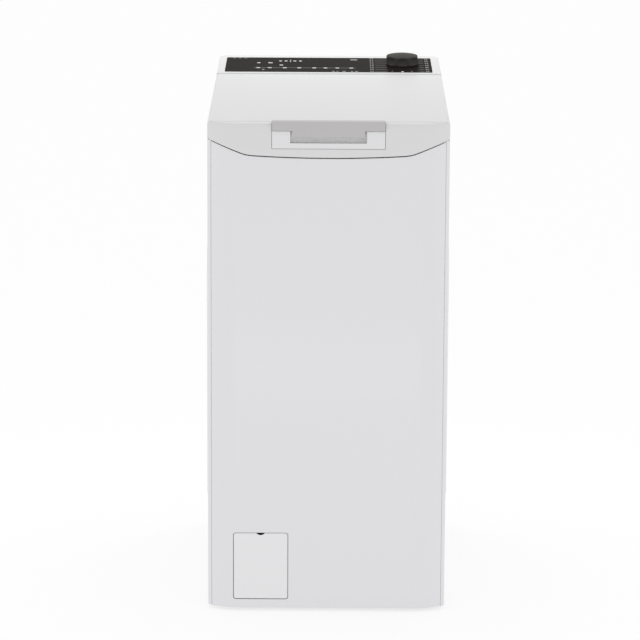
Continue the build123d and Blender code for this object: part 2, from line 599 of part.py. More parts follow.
# Tub: moulded shell with a loading throat, closed by two flanges that carry the bearings
def make_tub_shell():
    outer_r = TUB_R + TUB_WALL
    with BuildPart() as tub:
        rod_x(0, TUB_Z, outer_r, (-TUB_HALF, TUB_HALF))
        block((-THROAT_X - TUB_WALL, THROAT_X + TUB_WALL), (-THROAT_Y - TUB_WALL, THROAT_Y + TUB_WALL),
              (TUB_Z, THROAT_TOP))
        block(SUMP_X, SUMP_Y, (142, 185))
        block((SUMP_X[0] + 3, SUMP_X[1] - 3), (SUMP_Y[0] + 3, SUMP_Y[1] - 3), (145, 186), Mode.SUBTRACT)
        rod_x(0, TUB_Z, TUB_R, (-TUB_HALF, TUB_HALF), Mode.SUBTRACT)
        block((-THROAT_X, THROAT_X), (-THROAT_Y, THROAT_Y), (TUB_Z, THROAT_TOP + 1), Mode.SUBTRACT)
        rod_z(*SPIGOT, 16, (SUMP_HOSE_Z[1] + 0.2, 143))
        rod_z(*SPIGOT, 13, (SUMP_HOSE_Z[0], 150), Mode.SUBTRACT)
        for x in (-110.0, -37.0, 37.0, 110.0):
            with BuildSketch(Plane.YZ.offset(x - 1.5)) as rib:
                with Locations((0, TUB_Z)):
                    Circle(outer_r + 4)
                    Circle(outer_r - 1, mode=Mode.SUBTRACT)
                    with Locations((0, 260)):
                        Rectangle(2 * THROAT_Y + 6, 300, mode=Mode.SUBTRACT)
            extrude(rib.sketch, amount=3)
    save(tub, "tub_shell")


def make_tub_flange(side, name):
    """End wall of the tub: ribbed disc, bearing hub, spring ears and a damper lug."""
    inner, outer = side * TUB_HALF, side * (TUB_HALF + FLANGE_T)
    with BuildPart() as flange:
        rod_x(0, TUB_Z, FLANGE_R, (inner, outer))
        rod_x(0, TUB_Z, BEARING_OUT_R + 8, (outer, side * 166))
        for turn in range(0, 360, 30):
            with BuildSketch(Plane.YZ.offset(outer)) as rib:
                with Locations(Location((0, TUB_Z, 0), (0, 0, turn))):
                    with Locations((BEARING_OUT_R + 90, 0)):
                        Rectangle(190, 3)
            extrude(rib.sketch, amount=side * 7)
        for y in (-SPRING_AT[1], SPRING_AT[1]):
            block((outer, side * (SPRING_AT[0] + 12)), (y - 13, y + 13), (SPRING_Z[0] - 6.5, SPRING_Z[0] - 0.5))
            block((outer, side * (SPRING_AT[0] + 12)), (y - 1.5, y + 1.5), (SPRING_Z[0] - 40, SPRING_Z[0] - 6))
        for y in (-DAMPER_AT[1], DAMPER_AT[1]):
            block((inner, side * (DAMPER_AT[0] + 10)), (y - 10, y + 10), (138, 160))
        block((inner, outer), (-80, 80), (138, 200))
        rod_x(0, TUB_Z, BEARING_OUT_R, (inner - side, side * 170), Mode.SUBTRACT)
    save(flange, name)


def make_bearings_and_seals():
    with BuildPart() as bearings:
        for side in (-1, 1):
            rod_x(0, TUB_Z, BEARING_OUT_R, (side * 150.5, side * 165.5))
        rod_x(0, TUB_Z, BEARING_IN_R, (-170, 170), Mode.SUBTRACT)
        for side in (-1, 1):
            for face in (150.5, 165.5):
                with BuildSketch(Plane.YZ.offset(side * face)) as groove:
                    with Locations((0, TUB_Z)):
                        Circle(22)
                        Circle(17, mode=Mode.SUBTRACT)
                extrude(groove.sketch, amount=1, both=True, mode=Mode.SUBTRACT)
    save(bearings, "tub_bearings")
    with BuildPart() as seals:
        for side in (-1, 1):
            rod_x(0, TUB_Z, BEARING_OUT_R, (side * 143, side * 150.2))
        rod_x(0, TUB_Z, SHAFT_R + 0.4, (-151, 151), Mode.SUBTRACT)
    save(seals, "shaft_seals")


def make_counterweight(ys, zs, name):
    """Cast concrete block hollowed to the curve of the tub."""
    with BuildPart() as weight:
        block((-134, 134), ys, zs)
        chamfer(weight.edges().filter_by(Axis.X), 6)
        rod_x(0, TUB_Z, TUB_R + TUB_WALL + 4.3, (-140, 140), Mode.SUBTRACT)
    save(weight, name)


def make_heater_element():
    """Sheathed heater: two long legs joined by a bend, and a flange at the tub's right end."""
    radius, y, z, bend = 3.3, 14.0, 160.0, 14.0
    with BuildPart() as heater:
        for side in (-1, 1):
            rod_x(side * y, z, radius, (-90, TUB_HALF))
        with BuildSketch(Plane(origin=(-90, y, z), x_dir=(0, 1, 0), z_dir=(1, 0, 0))) as section:
            Circle(radius)
        revolve(section.sketch, axis=Axis((-90, 0, z), (0, 0, 1)), revolution_arc=180)
    save(heater, "heater_element")


def make_damper_rods():
    with BuildPart() as rods:
        for side in (-1, 1):
            for y in (-DAMPER_AT[1], DAMPER_AT[1]):
                rod_z(side * DAMPER_AT[0], y, DAMPER_ROD_R, (62, 138))
                rod_z(side * DAMPER_AT[0], y, 9.6, (62, 72))
    save(rods, "damper_rods")
    with BuildPart() as cylinders:
        for side in (-1, 1):
            for y in (-DAMPER_AT[1], DAMPER_AT[1]):
                rod_z(side * DAMPER_AT[0], y, 12.5, (12, 104))
                rod_z(side * DAMPER_AT[0], y, 10, (40, 101), Mode.SUBTRACT)
                rod_z(side * DAMPER_AT[0], y, DAMPER_ROD_R + 0.3, (100, 105), Mode.SUBTRACT)
    save(cylinders, "damper_cylinders")


# Drum: perforated steel shell between two pressed ends, three lifters, hubs with stub shafts
def make_drum_shell():
    with BuildPart() as shell:
        rod_x(0, TUB_Z, DRUM_R, (-DRUM_HALF, DRUM_HALF))
        rod_x(0, TUB_Z, DRUM_R - DRUM_SHEET, (-DRUM_HALF, DRUM_HALF), Mode.SUBTRACT)
        reach = DRUM_R * sin(radians(DOOR_HINGE_ANGLE - 0.5))
        block((-DOOR_HALF_X - 1.5, DOOR_HALF_X + 1.5), (-reach, reach), (TUB_Z, 700), Mode.SUBTRACT)
        for side in (-1, 1):
            for x in (-75.0, 0.0, 75.0):
                hinge = on_circle((0, TUB_Z), DOOR_HINGE_R, 90 - side * DOOR_HINGE_ANGLE)
                root = on_circle((0, TUB_Z), DRUM_R - 0.8, 90 - side * (DOOR_HINGE_ANGLE + 0.5))
                rod_x(hinge[0], hinge[1], 2.8, (x - 8, x + 8))
                with BuildSketch(Plane.YZ.offset(x - 8)) as web:
                    with BuildLine():
                        out = on_circle((0, TUB_Z), DOOR_HINGE_R + 1, 90 - side * (DOOR_HINGE_ANGLE + 1.4))
                        far = on_circle((0, TUB_Z), DRUM_R - 0.8, 90 - side * (DOOR_HINGE_ANGLE + 1.6))
                        Polyline(hinge, out, far, root, close=True)
                    make_face()
                extrude(web.sketch, amount=16)
                rod_x(hinge[0], hinge[1], 1.5, (x - 9, x + 9), Mode.SUBTRACT)
    save(shell, "drum_shell")


def make_drum_ends():
    with BuildPart() as ends:
        for side in (-1, 1):
            rod_x(0, TUB_Z, DRUM_R - DRUM_SHEET - 0.02, (side * (DRUM_HALF - 8), side * DRUM_HALF))
            rod_x(0, TUB_Z, DRUM_R - 2 * DRUM_SHEET - 0.02, (side * (DRUM_HALF - 9), side * (DRUM_HALF - 1)),
                  Mode.SUBTRACT)
            with BuildSketch(Plane.YZ.offset(side * DRUM_HALF)) as bead:
                with Locations((0, TUB_Z)):
                    Circle(185)
                    Circle(110, mode=Mode.SUBTRACT)
            extrude(bead.sketch, amount=side * 2)
            rod_x(0, TUB_Z, 14, (side * 120, side * 135), Mode.SUBTRACT)
    save(ends, "drum_ends")


def make_drum_lifters():
    """Two hollow paddles inside the drum, clear of the doors."""
    height, half_w = 55.0, 30.0
    with BuildPart() as lifters:
        for angle in LIFTER_ANGLES:
            radial = Plane(origin=(0, 0, TUB_Z), x_dir=(1, 0, 0),
                           z_dir=(0, cos(radians(angle)), sin(radians(angle))))
            with BuildSketch(radial.offset(DRUM_R - DRUM_SHEET - 2.6)) as foot:
                RectangleRounded(2 * DRUM_HALF - 30, 2 * half_w, 14)
            with BuildSketch(radial.offset(DRUM_R - DRUM_SHEET - height)) as crest:
                RectangleRounded(2 * DRUM_HALF - 90, 18, 8)
            loft(sections=[foot.sketch.face(), crest.sketch.face()])
    save(lifters, "drum_lifters")


LIFTER_ANGLES = (180.0, 270.0, 0.0)


def make_drum_hubs():
    """Cast spiders with the stub shafts; the right shaft carries the pulley."""
    with BuildPart() as hubs:
        for side, shaft_end in ((-1, 167.5), (1, 186.0)):
            rod_x(0, TUB_Z, 46, (side * 131.2, side * 139))
            for turn in (90, 210, 330):
                with BuildSketch(Plane.YZ.offset(side * 132.2)) as arm:
                    with Locations(Location((0, TUB_Z, 0), (0, 0, turn))):
                        with Locations((105, 0)):
                            SlotOverall(190, 34)
                extrude(arm.sketch, amount=side * 5)
            rod_x(0, TUB_Z, SHAFT_R, (side * 125, side * shaft_end))
    save(hubs, "drum_hubs")


def make_drum_pulley():
    x0, x1 = 171.0, 185.0
    with BuildPart() as pulley:
        rod_x(0, TUB_Z, PULLEY_R, (x0, x1))
        rod_x(0, TUB_Z, PULLEY_R - 6, (x0 - 1, x1 + 1), Mode.SUBTRACT)
        rod_x(0, TUB_Z, 24, (x0, x1))
        with BuildSketch(Plane.YZ.offset(x0 + 4)) as spokes:
            for turn in range(0, 180, 45):
                with Locations(Location((0, TUB_Z, 0), (0, 0, turn))):
                    Rectangle(2 * PULLEY_R - 10, 16)
        extrude(spokes.sketch, amount=5)
        rod_x(0, TUB_Z, SHAFT_R, (x0 - 1, x1 + 1), Mode.SUBTRACT)
    save(pulley, "drum_pulley")


def make_drum_door(side, name):
    """Curved door over one half of the loading mouth, with hinge knuckles outside the drum."""
    hinge = on_circle((0, TUB_Z), DOOR_HINGE_R, 90 - side * DOOR_HINGE_ANGLE)
    near, far = 90 - side * (DOOR_HINGE_ANGLE - 1.1), 90 - side * 0.25
    middle = (near + far) / 2
    with BuildPart() as door:
        with BuildSketch(Plane.YZ.offset(-DOOR_HALF_X)) as sheet:
            with BuildLine():
                ThreePointArc(*[on_circle((0, TUB_Z), DRUM_R, a) for a in (near, middle, far)])
                Line(on_circle((0, TUB_Z), DRUM_R, far), on_circle((0, TUB_Z), DRUM_R - 1.2, far))
                ThreePointArc(*[on_circle((0, TUB_Z), DRUM_R - 1.2, a) for a in (far, middle, near)])
                Line(on_circle((0, TUB_Z), DRUM_R - 1.2, near), on_circle((0, TUB_Z), DRUM_R, near))
            make_face()
        extrude(sheet.sketch, amount=2 * DOOR_HALF_X)
        fold = on_circle((0, TUB_Z), DRUM_R, far)
        block((-DOOR_HALF_X, DOOR_HALF_X), (fold[0], fold[0] + side * 1.2), (fold[1] - 8, fold[1] - 0.3))
        for x in (-56.0, -19.0, 19.0, 56.0):
            rod_x(hinge[0], hinge[1], 2.8, (x - 7, x + 7))
            with BuildSketch(Plane.YZ.offset(x - 7)) as web:
                with BuildLine():
                    Polyline(
                        hinge,
                        on_circle((0, TUB_Z), DOOR_HINGE_R + 1.6, 90 - side * (DOOR_HINGE_ANGLE - 0.5)),
                        on_circle((0, TUB_Z), DRUM_R - 0.4, 90 - side * (DOOR_HINGE_ANGLE - 2.6)),
                        on_circle((0, TUB_Z), DRUM_R - 0.6, near),
                        close=True,
                    )
                make_face()
            extrude(web.sketch, amount=14)
            rod_x(hinge[0], hinge[1], 1.5 + RUN, (x - 8, x + 8), Mode.SUBTRACT)
    save(door, name)


def make_door_hinge_pins():
    with BuildPart() as pins:
        for side in (-1, 1):
            hinge = on_circle((0, TUB_Z), DOOR_HINGE_R, 90 - side * DOOR_HINGE_ANGLE)
            rod_x(hinge[0], hinge[1], 1.5, (-84, 84))
    save(pins, "door_hinge_pins")


def make_door_latch():
    """Sliding latch button on the front door's free edge."""
    with BuildPart() as latch:
        block((-22, 22), (-18, -3), (631.0, 634.0))
        fillet(latch.edges().filter_by(Axis.Z), 3)
        block((-9, 9), (-6, 4.5), (631.0, 633.0))
    save(latch, "door_latch")


# Drive: motor under the tub, its rotor and pulley, and the ribbed belt
def make_motor():
    with BuildPart() as stator:
        rod_x(MOTOR_Y, MOTOR_Z, MOTOR_R, (24, 140))
        rod_x(MOTOR_Y, MOTOR_Z, 11, (18, 146))
        for y in (MOTOR_Y - 62, MOTOR_Y + 40):
            top = TUB_Z - sqrt((TUB_R + TUB_WALL + 4.4) ** 2 - y**2)
            block((125, TUB_HALF), (y, y + 9), (MOTOR_Z, top))
        rod_x(MOTOR_Y, MOTOR_Z, MOTOR_R - 9, (30, 134), Mode.SUBTRACT)
        rod_x(MOTOR_Y, MOTOR_Z, 7 + RUN, (17, 147), Mode.SUBTRACT)
    save(stator, "motor_stator")
    with BuildPart() as rotor:
        rod_x(MOTOR_Y, MOTOR_Z, 38, (40, 124))
        rod_x(MOTOR_Y, MOTOR_Z, 7, (12, 187))
        rod_x(MOTOR_Y, MOTOR_Z, MOTOR_PULLEY_R, (170, 186))
        rod_x(MOTOR_Y, MOTOR_Z, MOTOR_PULLEY_R + 2, (168, 170))
    save(rotor, "motor_rotor")


def make_drive_belt():
    """Flat ribbed belt round the drum pulley and the motor pulley."""
    span = hypot(MOTOR_Y, TUB_Z - MOTOR_Z)
    lean = degrees(atan2(MOTOR_Z - TUB_Z, MOTOR_Y))
    with BuildPart() as belt:
        for gap, mode in ((3.0, Mode.ADD), (0.3, Mode.SUBTRACT)):
            big, small = PULLEY_R + gap, MOTOR_PULLEY_R + gap
            wrap = degrees(atan2(sqrt(span**2 - (big - small) ** 2), big - small))
            with BuildSketch(Plane.YZ.offset(BELT_X[0])) as loop:
                with BuildLine():
                    hub, motor = (0, TUB_Z), (MOTOR_Y, MOTOR_Z)
                    upper, lower = lean + wrap, lean - wrap
                    ThreePointArc(on_circle(hub, big, upper), on_circle(hub, big, lean + 180),
                                  on_circle(hub, big, lower))
                    Line(on_circle(hub, big, lower), on_circle(motor, small, lower))
                    ThreePointArc(on_circle(motor, small, lower), on_circle(motor, small, lean),
                                  on_circle(motor, small, upper))
                    Line(on_circle(motor, small, upper), on_circle(hub, big, upper))
                make_face()
            extrude(loop.sketch, amount=BELT_X[1] - BELT_X[0], mode=mode)
    save(belt, "drive_belt")


# Suspension and flexible parts between the tub and the cabinet
def make_flexible_parts():
    with BuildPart() as springs:
        for side in (-1, 1):
            for y in (-SPRING_AT[1], SPRING_AT[1]):
                rod_z(side * SPRING_AT[0], y, 11, SPRING_Z)
                rod_z(side * SPRING_AT[0], y, 8, SPRING_Z, Mode.SUBTRACT)
    save(springs, "suspension_springs")
    zs = (THROAT_TOP + 0.2, COLLAR_Z - 0.2)
    with BuildPart() as bellows:
        block((-THROAT_X - COLLAR_T, THROAT_X + COLLAR_T), (-THROAT_Y - COLLAR_T, THROAT_Y + COLLAR_T), zs)
        block((-THROAT_X, THROAT_X), (-THROAT_Y, THROAT_Y), (zs[0] - 1, zs[1] + 1), Mode.SUBTRACT)
    save(bellows, "throat_bellows")
    with BuildPart() as hose:
        rod_z(*SPIGOT, 16, SUMP_HOSE_Z)
        rod_z(*SPIGOT, 13, SUMP_HOSE_Z, Mode.SUBTRACT)
    save(hose, "sump_hose")


HOSE_START = (-149.0, -160.0, FILTER_Z)


# Water side: filter bay behind the flap, pump with its cap and impeller, hose and rear connections
def make_filter_bay():
    outer_x, outer_z = (FLAP_X[0] - 5, FLAP_X[1] + 5), (FLAP_Z[0] - 4.5, FLAP_Z[1] + 5)
    ys, wall = (-297.0, -262.0), 1.6
    with BuildPart() as bay:
        block(outer_x, ys, outer_z)
        block((outer_x[0] + wall, outer_x[1] - wall), (-310, ys[1] - wall),
              (outer_z[0] + wall, outer_z[1] - wall), Mode.SUBTRACT)
        rod_y(FILTER_X, FILTER_Z, 34, (ys[1] - 5, ys[1] + 5), Mode.SUBTRACT)
        for x in (FLAP_X[0] + 9, FLAP_X[1] - 14):
            block((x, x + 5), (-296.4, ys[1] - 1), (outer_z[0] + 1, FLAP_AXIS[1] - 3))
    save(bay, "filter_bay")


FLAP_AXIS = (-298.0, 24.4)


def make_filter_flap():
    """Flush service flap with a half-round finger notch, hinge barrel and snap tabs."""
    with BuildPart() as flap:
        with BuildSketch(Plane.XZ.offset(DEPTH / 2 - FLAP_T)) as face:
            with Locations(((FLAP_X[0] + FLAP_X[1]) / 2, (FLAP_Z[0] + FLAP_Z[1]) / 2)):
                RectangleRounded(FLAP_X[1] - FLAP_X[0], FLAP_Z[1] - FLAP_Z[0], 4)
            with Locations(((FLAP_X[0] + FLAP_X[1]) / 2, FLAP_Z[1] + 5.3)):
                Circle(9.0, mode=Mode.SUBTRACT)
        extrude(face.sketch, amount=FLAP_T)
        extrude(OUTER_PLAN, amount=FOLD_Z, mode=Mode.INTERSECT)
        for x in (FLAP_X[0] + 16, FLAP_X[1] - 26):
            block((x, x + 10), (-298, -291), (124, 126.5))
        rod_x(*FLAP_AXIS, 1.2, (FLAP_X[0] + 8, FLAP_X[1] - 8))
        chamfer(flap.edges().filter_by(Axis.X).group_by(Axis.Z)[0].sort_by(Axis.Y)[0], 1.2)
    save(flap, "filter_flap")


def make_filter_cap():
    with BuildPart() as cap:
        rod_y(FILTER_X, FILTER_Z, 31, (-268, -256))
        rod_y(FILTER_X, FILTER_Z, 24, (-256, -244))
        block((FILTER_X - 26, FILTER_X + 26), (-284, -268), (FILTER_Z - 4, FILTER_Z + 4))
        rod_y(FILTER_X, FILTER_Z, 20, (-250, -243), Mode.SUBTRACT)
    save(cap, "filter_cap")


def make_pump():
    """Pump body with filter barrel, chamber, tub port and outlet; motor and impeller behind it."""
    x, z = FILTER_X, FILTER_Z
    port_z = 85.5
    with BuildPart() as body:
        rod_y(x, z, 36, (-255.6, -238))
        rod_y(x, z, 29, (-238, -176))
        rod_x(-205, port_z, 12, (x, SPIGOT[0]))
        rod_y(SPIGOT[0], port_z, 12, (-205, SPIGOT[1]))
        rod_z(*SPIGOT, 12, (port_z, SUMP_HOSE_Z[0] - 0.2))
        for y in (-205, SPIGOT[1]):
            with Locations((SPIGOT[0], y, port_z)):
                Sphere(13.5)
        rod_x(-195, z, 9.2, (HOSE_START[0], x))
        rod_y(HOSE_START[0], z, 10, (-205, HOSE_START[1] - 0.2))
        rod_y(x, z, 24.4, (-256, -190), Mode.SUBTRACT)
        rod_y(x, z, 20, (-191, -178.5), Mode.SUBTRACT)
        rod_y(x, z, 3.3, (-180, -170), Mode.SUBTRACT)
        rod_x(-205, port_z, 9, (x, SPIGOT[0]), Mode.SUBTRACT)
        rod_y(SPIGOT[0], port_z, 9.6, (-208, SPIGOT[1] + 3), Mode.SUBTRACT)
        rod_z(*SPIGOT, 8.8, (port_z, 110), Mode.SUBTRACT)
        rod_x(-195, z, 6.8, (HOSE_START[0], x), Mode.SUBTRACT)
        rod_y(HOSE_START[0], z, 7.5, (-195, HOSE_START[1]), Mode.SUBTRACT)
    save(body, "pump_body")
    with BuildPart() as motor:
        rod_y(x, z, 26, (-175.6, -120))
        rod_y(x, z, 16, (-120, -112))
        rod_y(x, z, 3.3, (-176, -150), Mode.SUBTRACT)
        for turn in range(0, 360, 30):
            with BuildSketch(Plane.XZ.offset(120)) as fin:
                with Locations(Location((x, z, 0), (0, 0, turn))):
                    with Locations((26, 0)):
                        Rectangle(4, 3)
            extrude(fin.sketch, amount=50)
    save(motor, "pump_motor")
    with BuildPart() as impeller:
        rod_y(x, z, 3, (-188, -152))
        rod_y(x, z, 6, (-188, -180))
        for turn in (0, 45, 90, 135):
            with BuildSketch(Plane.XZ.offset(180)) as blade:
                with Locations(Location((x, z, 0), (0, 0, turn))):
                    Rectangle(34, 2)
            extrude(blade.sketch, amount=7)
    save(impeller, "pump_impeller")


def make_water_fittings():
    """Inlet valve, drain spigot and mains-lead gland on the rear panel."""
    with BuildPart() as valve:
        rod_y(INLET[0], INLET[1], INLET_R + 1, (270, PANEL_BACK + SHEET + 0.2))
        rod_y(INLET[0], INLET[1], INLET_R, (280, DEPTH / 2 + 2))
        block((INLET[0] - 20, INLET[0] + 20), (250, 286), (INLET[1] - 18, INLET[1] + 14))
        block((INLET[0] - 14, INLET[0] + 14), (222, 250), (INLET[1] - 14, INLET[1] + 10))
        rod_z(INLET[0], 262, 6, (INLET[1] + 14, INLET[1] + 32))
        rod_y(INLET[0], INLET[1], 8.5, (280, DEPTH / 2 + 3), Mode.SUBTRACT)
    save(valve, "inlet_valve")
    with BuildPart() as outlet:
        rod_y(DRAIN[0], DRAIN[1], DRAIN_R, (262, DEPTH / 2 + 2))
        rod_y(DRAIN[0], DRAIN[1], DRAIN_R + 1, (280, PANEL_BACK + SHEET + 0.2))
        rod_y(DRAIN[0], DRAIN[1], 16, (285, PANEL_BACK - 0.2))
        rod_y(DRAIN[0], DRAIN[1], 7.5, (261, DEPTH / 2 + 3), Mode.SUBTRACT)
    save(outlet, "drain_outlet")
    with BuildPart() as gland:
        rod_y(GLAND[0], GLAND[1], GLAND_R, (279, DEPTH / 2))
        rod_y(GLAND[0], GLAND[1], GLAND_R + 4, (PANEL_BACK + SHEET, PANEL_BACK + 4))
        rod_y(GLAND[0], GLAND[1], 4.0, (278, DEPTH / 2 + 1), Mode.SUBTRACT)
    save(gland, "cable_gland")


def make_drain_hose():
    """Hose from the pump outlet past the dampers to the drain spigot; every bend as wide as its runs allow."""
    radius, left = 9.5, -181.0
    route = [HOSE_START, (HOSE_START[0], -132, FILTER_Z), (left, -88, 78), (left + 0.5, 60, 98),
             (left, 140, 126), (DRAIN[0], 205, DRAIN[1]), (DRAIN[0], 261.8, DRAIN[1])]
    points = [Vector(*point) for point in route]
    radii = []
    for before, here, after in zip(points, points[1:], points[2:]):
        half_turn = radians((here - before).get_angle(after - here)) / 2
        shorter = min((here - before).length, (after - here).length)
        radii.append(0.45 * shorter * cos(half_turn) / sin(half_turn))
    print("drain hose bend radii", [round(bend) for bend in radii])
    with BuildPart() as hose:
        with BuildLine() as path:
            FilletPolyline(*route, radius=radii)
        with BuildSketch(Plane(origin=route[0], x_dir=(1, 0, 0), z_dir=(0, 1, 0))):
            Circle(radius)
        sweep(path=path.wires()[0])
    save(hose, "drain_hose")


def make_power_module():
    """Motor controller in its plastic case on the base tray."""
    with BuildPart() as module:
        block((20, 120), (-262, -180), (16.4, 62))
        fillet(module.edges().filter_by(Axis.Z), 5)
        with BuildSketch(Plane.XY.offset(60)) as vents:
            with Locations((70, -221)):
                with GridLocations(9, 0, 8, 1):
                    SlotOverall(50, 3, rotation=90)
        extrude(vents.sketch, amount=4, mode=Mode.SUBTRACT)
    save(module, "power_module")


def make_foot(x, ys):
    """Levelling foot: pad and threaded stem."""
    with BuildPart() as foot:
        for y in ys:
            rod_z(x, y, 20, (0, 8.5))
            rod_z(x, y, 5, (8.5, 52))
        chamfer(foot.edges().filter_by(GeomType.CIRCLE).group_by(Axis.Z)[0], 1.5)
    return foot


def make_feet():
    save(make_foot(-FOOT_X, FOOT_Y[:1]), "foot_front_left")
    save(make_foot(FOOT_X, FOOT_Y[:1]), "foot_front_right")
    with BuildPart() as rear:
        for x in (-FOOT_X, FOOT_X):
            add(make_foot(x, FOOT_Y[1:]).part)
    save(rear, "rear_feet")


make_base_tray()
make_front_panel()
make_side_panel(-1, "side_panel_left")
make_side_panel(1, "side_panel_right")
make_rear_panel()
make_cabinet_screws()
make_top_frame()
make_console_housing()
make_control_fascia()
make_control_board()
make_encoder_body()
make_program_knob()
make_lid_shell()
make_lid_liner()
make_handle_bezel()
make_lid_handle()
make_handle_pin()
make_lid_hinge_pins()
make_dispenser()
make_door_lock_housing()
make_lock_bolt()
make_tub_shell()
make_tub_flange(-1, "tub_flange_left")
make_tub_flange(1, "tub_flange_right")
make_bearings_and_seals()
make_counterweight((-290, -150), (560, 700), "counterweight_upper")
make_counterweight((-290, -150), (157, 277), "counterweight_lower")
make_heater_element()
make_damper_rods()
make_drum_shell()
make_drum_ends()
make_drum_lifters()
make_drum_hubs()
make_drum_pulley()
make_drum_door(-1, "drum_door_front")
make_drum_door(1, "drum_door_rear")
make_door_hinge_pins()
make_door_latch()
make_motor()
make_drive_belt()
make_flexible_parts()
make_filter_bay()
make_filter_flap()
make_filter_cap()
make_pump()
make_water_fittings()
make_drain_hose()
make_power_module()
make_feet()
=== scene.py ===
import math

import bmesh
import bpy
import numpy as np
from mathutils import Matrix, Vector


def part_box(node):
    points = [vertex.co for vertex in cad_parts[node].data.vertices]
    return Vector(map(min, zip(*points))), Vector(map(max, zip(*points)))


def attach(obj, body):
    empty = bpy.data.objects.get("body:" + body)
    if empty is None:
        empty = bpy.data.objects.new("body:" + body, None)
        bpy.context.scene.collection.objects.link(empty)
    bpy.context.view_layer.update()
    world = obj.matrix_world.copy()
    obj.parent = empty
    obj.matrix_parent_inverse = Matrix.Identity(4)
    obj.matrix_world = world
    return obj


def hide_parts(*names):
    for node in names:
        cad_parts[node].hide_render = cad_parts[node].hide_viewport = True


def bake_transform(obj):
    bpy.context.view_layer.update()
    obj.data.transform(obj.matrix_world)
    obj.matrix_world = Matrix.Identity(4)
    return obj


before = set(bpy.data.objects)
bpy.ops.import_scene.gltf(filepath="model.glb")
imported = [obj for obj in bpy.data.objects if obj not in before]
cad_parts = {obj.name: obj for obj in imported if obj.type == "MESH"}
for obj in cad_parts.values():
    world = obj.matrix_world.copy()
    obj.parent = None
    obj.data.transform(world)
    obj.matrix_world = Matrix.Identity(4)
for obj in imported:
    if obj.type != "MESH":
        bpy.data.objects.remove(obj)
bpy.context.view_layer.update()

# Camera: a long lens a little above the lid, looking at the front and down on the sloping deck.
CAMERA_PLACE = (0.0, -5.0386, 1.4223)
LENS_MM = 163.8
LOOK_DOWN, LOOK_LEFT, LEAN = math.radians(10.991), math.radians(0.153), 0.005
camera_data = bpy.data.cameras.new("product_camera")
camera_data.lens = LENS_MM
camera_data.sensor_width = 36.0
camera_data.clip_end = 60.0
camera = bpy.data.objects.new("product_camera", camera_data)
camera.location = CAMERA_PLACE
turn = Matrix.Rotation(LOOK_LEFT, 3, "Z") @ Matrix.Rotation(math.pi / 2 - LOOK_DOWN, 3, "X")
camera.rotation_euler = (turn @ Matrix.Rotation(LEAN, 3, "Z")).to_euler("XYZ")
bpy.context.scene.collection.objects.link(camera)
bpy.context.scene.camera = camera

# Studio: a white floor in a white room, a soft light above and behind the console that fades towards
# the lid's front and is kept out of reflections, a weak one on each side for the rounded shoulders,
# and a low one in front.
FLOOR_HALF, ROOM_STRENGTH, FLOOR_TONE, FLOOR_GLOW = 30.0, 0.975, 0.25, 0.74
bpy.context.scene.view_settings.view_transform = "Standard"
world = bpy.data.worlds.new("white_room")
world.use_nodes = True
world.node_tree.nodes["Background"].inputs["Color"].default_value = (1.0, 1.0, 1.0, 1.0)
world.node_tree.nodes["Background"].inputs["Strength"].default_value = ROOM_STRENGTH
bpy.context.scene.world = world


def soft_light(name, place, target, size, power):
    """A rectangular soft light at a place, turned towards a target."""
    data = bpy.data.lights.new(name, "AREA")
    data.shape = "RECTANGLE"
    data.size, data.size_y = size
    data.energy = power
    lamp = bpy.data.objects.new(name, data)
    lamp.location = place
    lamp.visible_camera = False
    lamp.rotation_euler = (Vector(target) - Vector(place)).to_track_quat("-Z", "Y").to_euler()
    bpy.context.scene.collection.objects.link(lamp)
    return lamp


overhead = soft_light("overhead", (0.0, 0.62, 1.34), (0.0, 0.20, 0.88), (1.2, 0.2), 2.2)
overhead.visible_glossy = False
for side, name in ((-1, "left_fill"), (1, "right_fill")):
    soft_light(name, (side * 3.4, 0.2, 1.0), (0.0, 0.0, 0.5), (1.2, 2.0), 5.0)
soft_light("low_front", (0.0, -2.0, 0.06), (0.0, -0.3, 0.10), (1.4, 0.1), 1.2)

floor_mesh = bpy.data.meshes.new("studio_floor")
floor_mesh.from_pydata(
    [(-FLOOR_HALF, -FLOOR_HALF, 0), (FLOOR_HALF, -FLOOR_HALF, 0), (FLOOR_HALF, FLOOR_HALF, 0),
     (-FLOOR_HALF, FLOOR_HALF, 0)], [], [(0, 1, 2, 3)])
floor = bpy.data.objects.new("studio_floor", floor_mesh)
bpy.context.scene.collection.objects.link(floor)
floor_material = bpy.data.materials.new("studio_floor")
floor_material.use_nodes = True
floor_shader = floor_material.node_tree.nodes["Principled BSDF"]
floor_shader.inputs["Base Color"].default_value = (FLOOR_TONE, FLOOR_TONE, FLOOR_TONE, 1.0)
floor_shader.inputs["Roughness"].default_value = 0.9
floor_shader.inputs["Specular IOR Level"].default_value = 0.0
floor_shader.inputs["Emission Color"].default_value = (1.0, 1.0, 1.0, 1.0)
floor_shader.inputs["Emission Strength"].default_value = FLOOR_GLOW
floor_mesh.materials.append(floor_material)


# Finishes.  Every surface takes its colour, roughness and bump from one of two shader groups: a
# moulded or painted skin with a fine grain and slow tone changes, or metal with drawn lines.
def group_sockets(group, inputs, outputs):
    """Give a node group its named inputs (with defaults) and outputs."""
    for name, kind, value in inputs:
        socket = group.interface.new_socket(name=name, in_out="INPUT", socket_type=kind)
        socket.default_value = value
    for name, kind in outputs:
        group.interface.new_socket(name=name, in_out="OUTPUT", socket_type=kind)


def add_node(tree, kind, **values):
    """A node with its plain properties and unlinked inputs set."""
    node = tree.nodes.new(kind)
    for name, value in values.items():
        if name in node.inputs:
            node.inputs[name].default_value = value
        else:
            setattr(node, name, value)
    return node


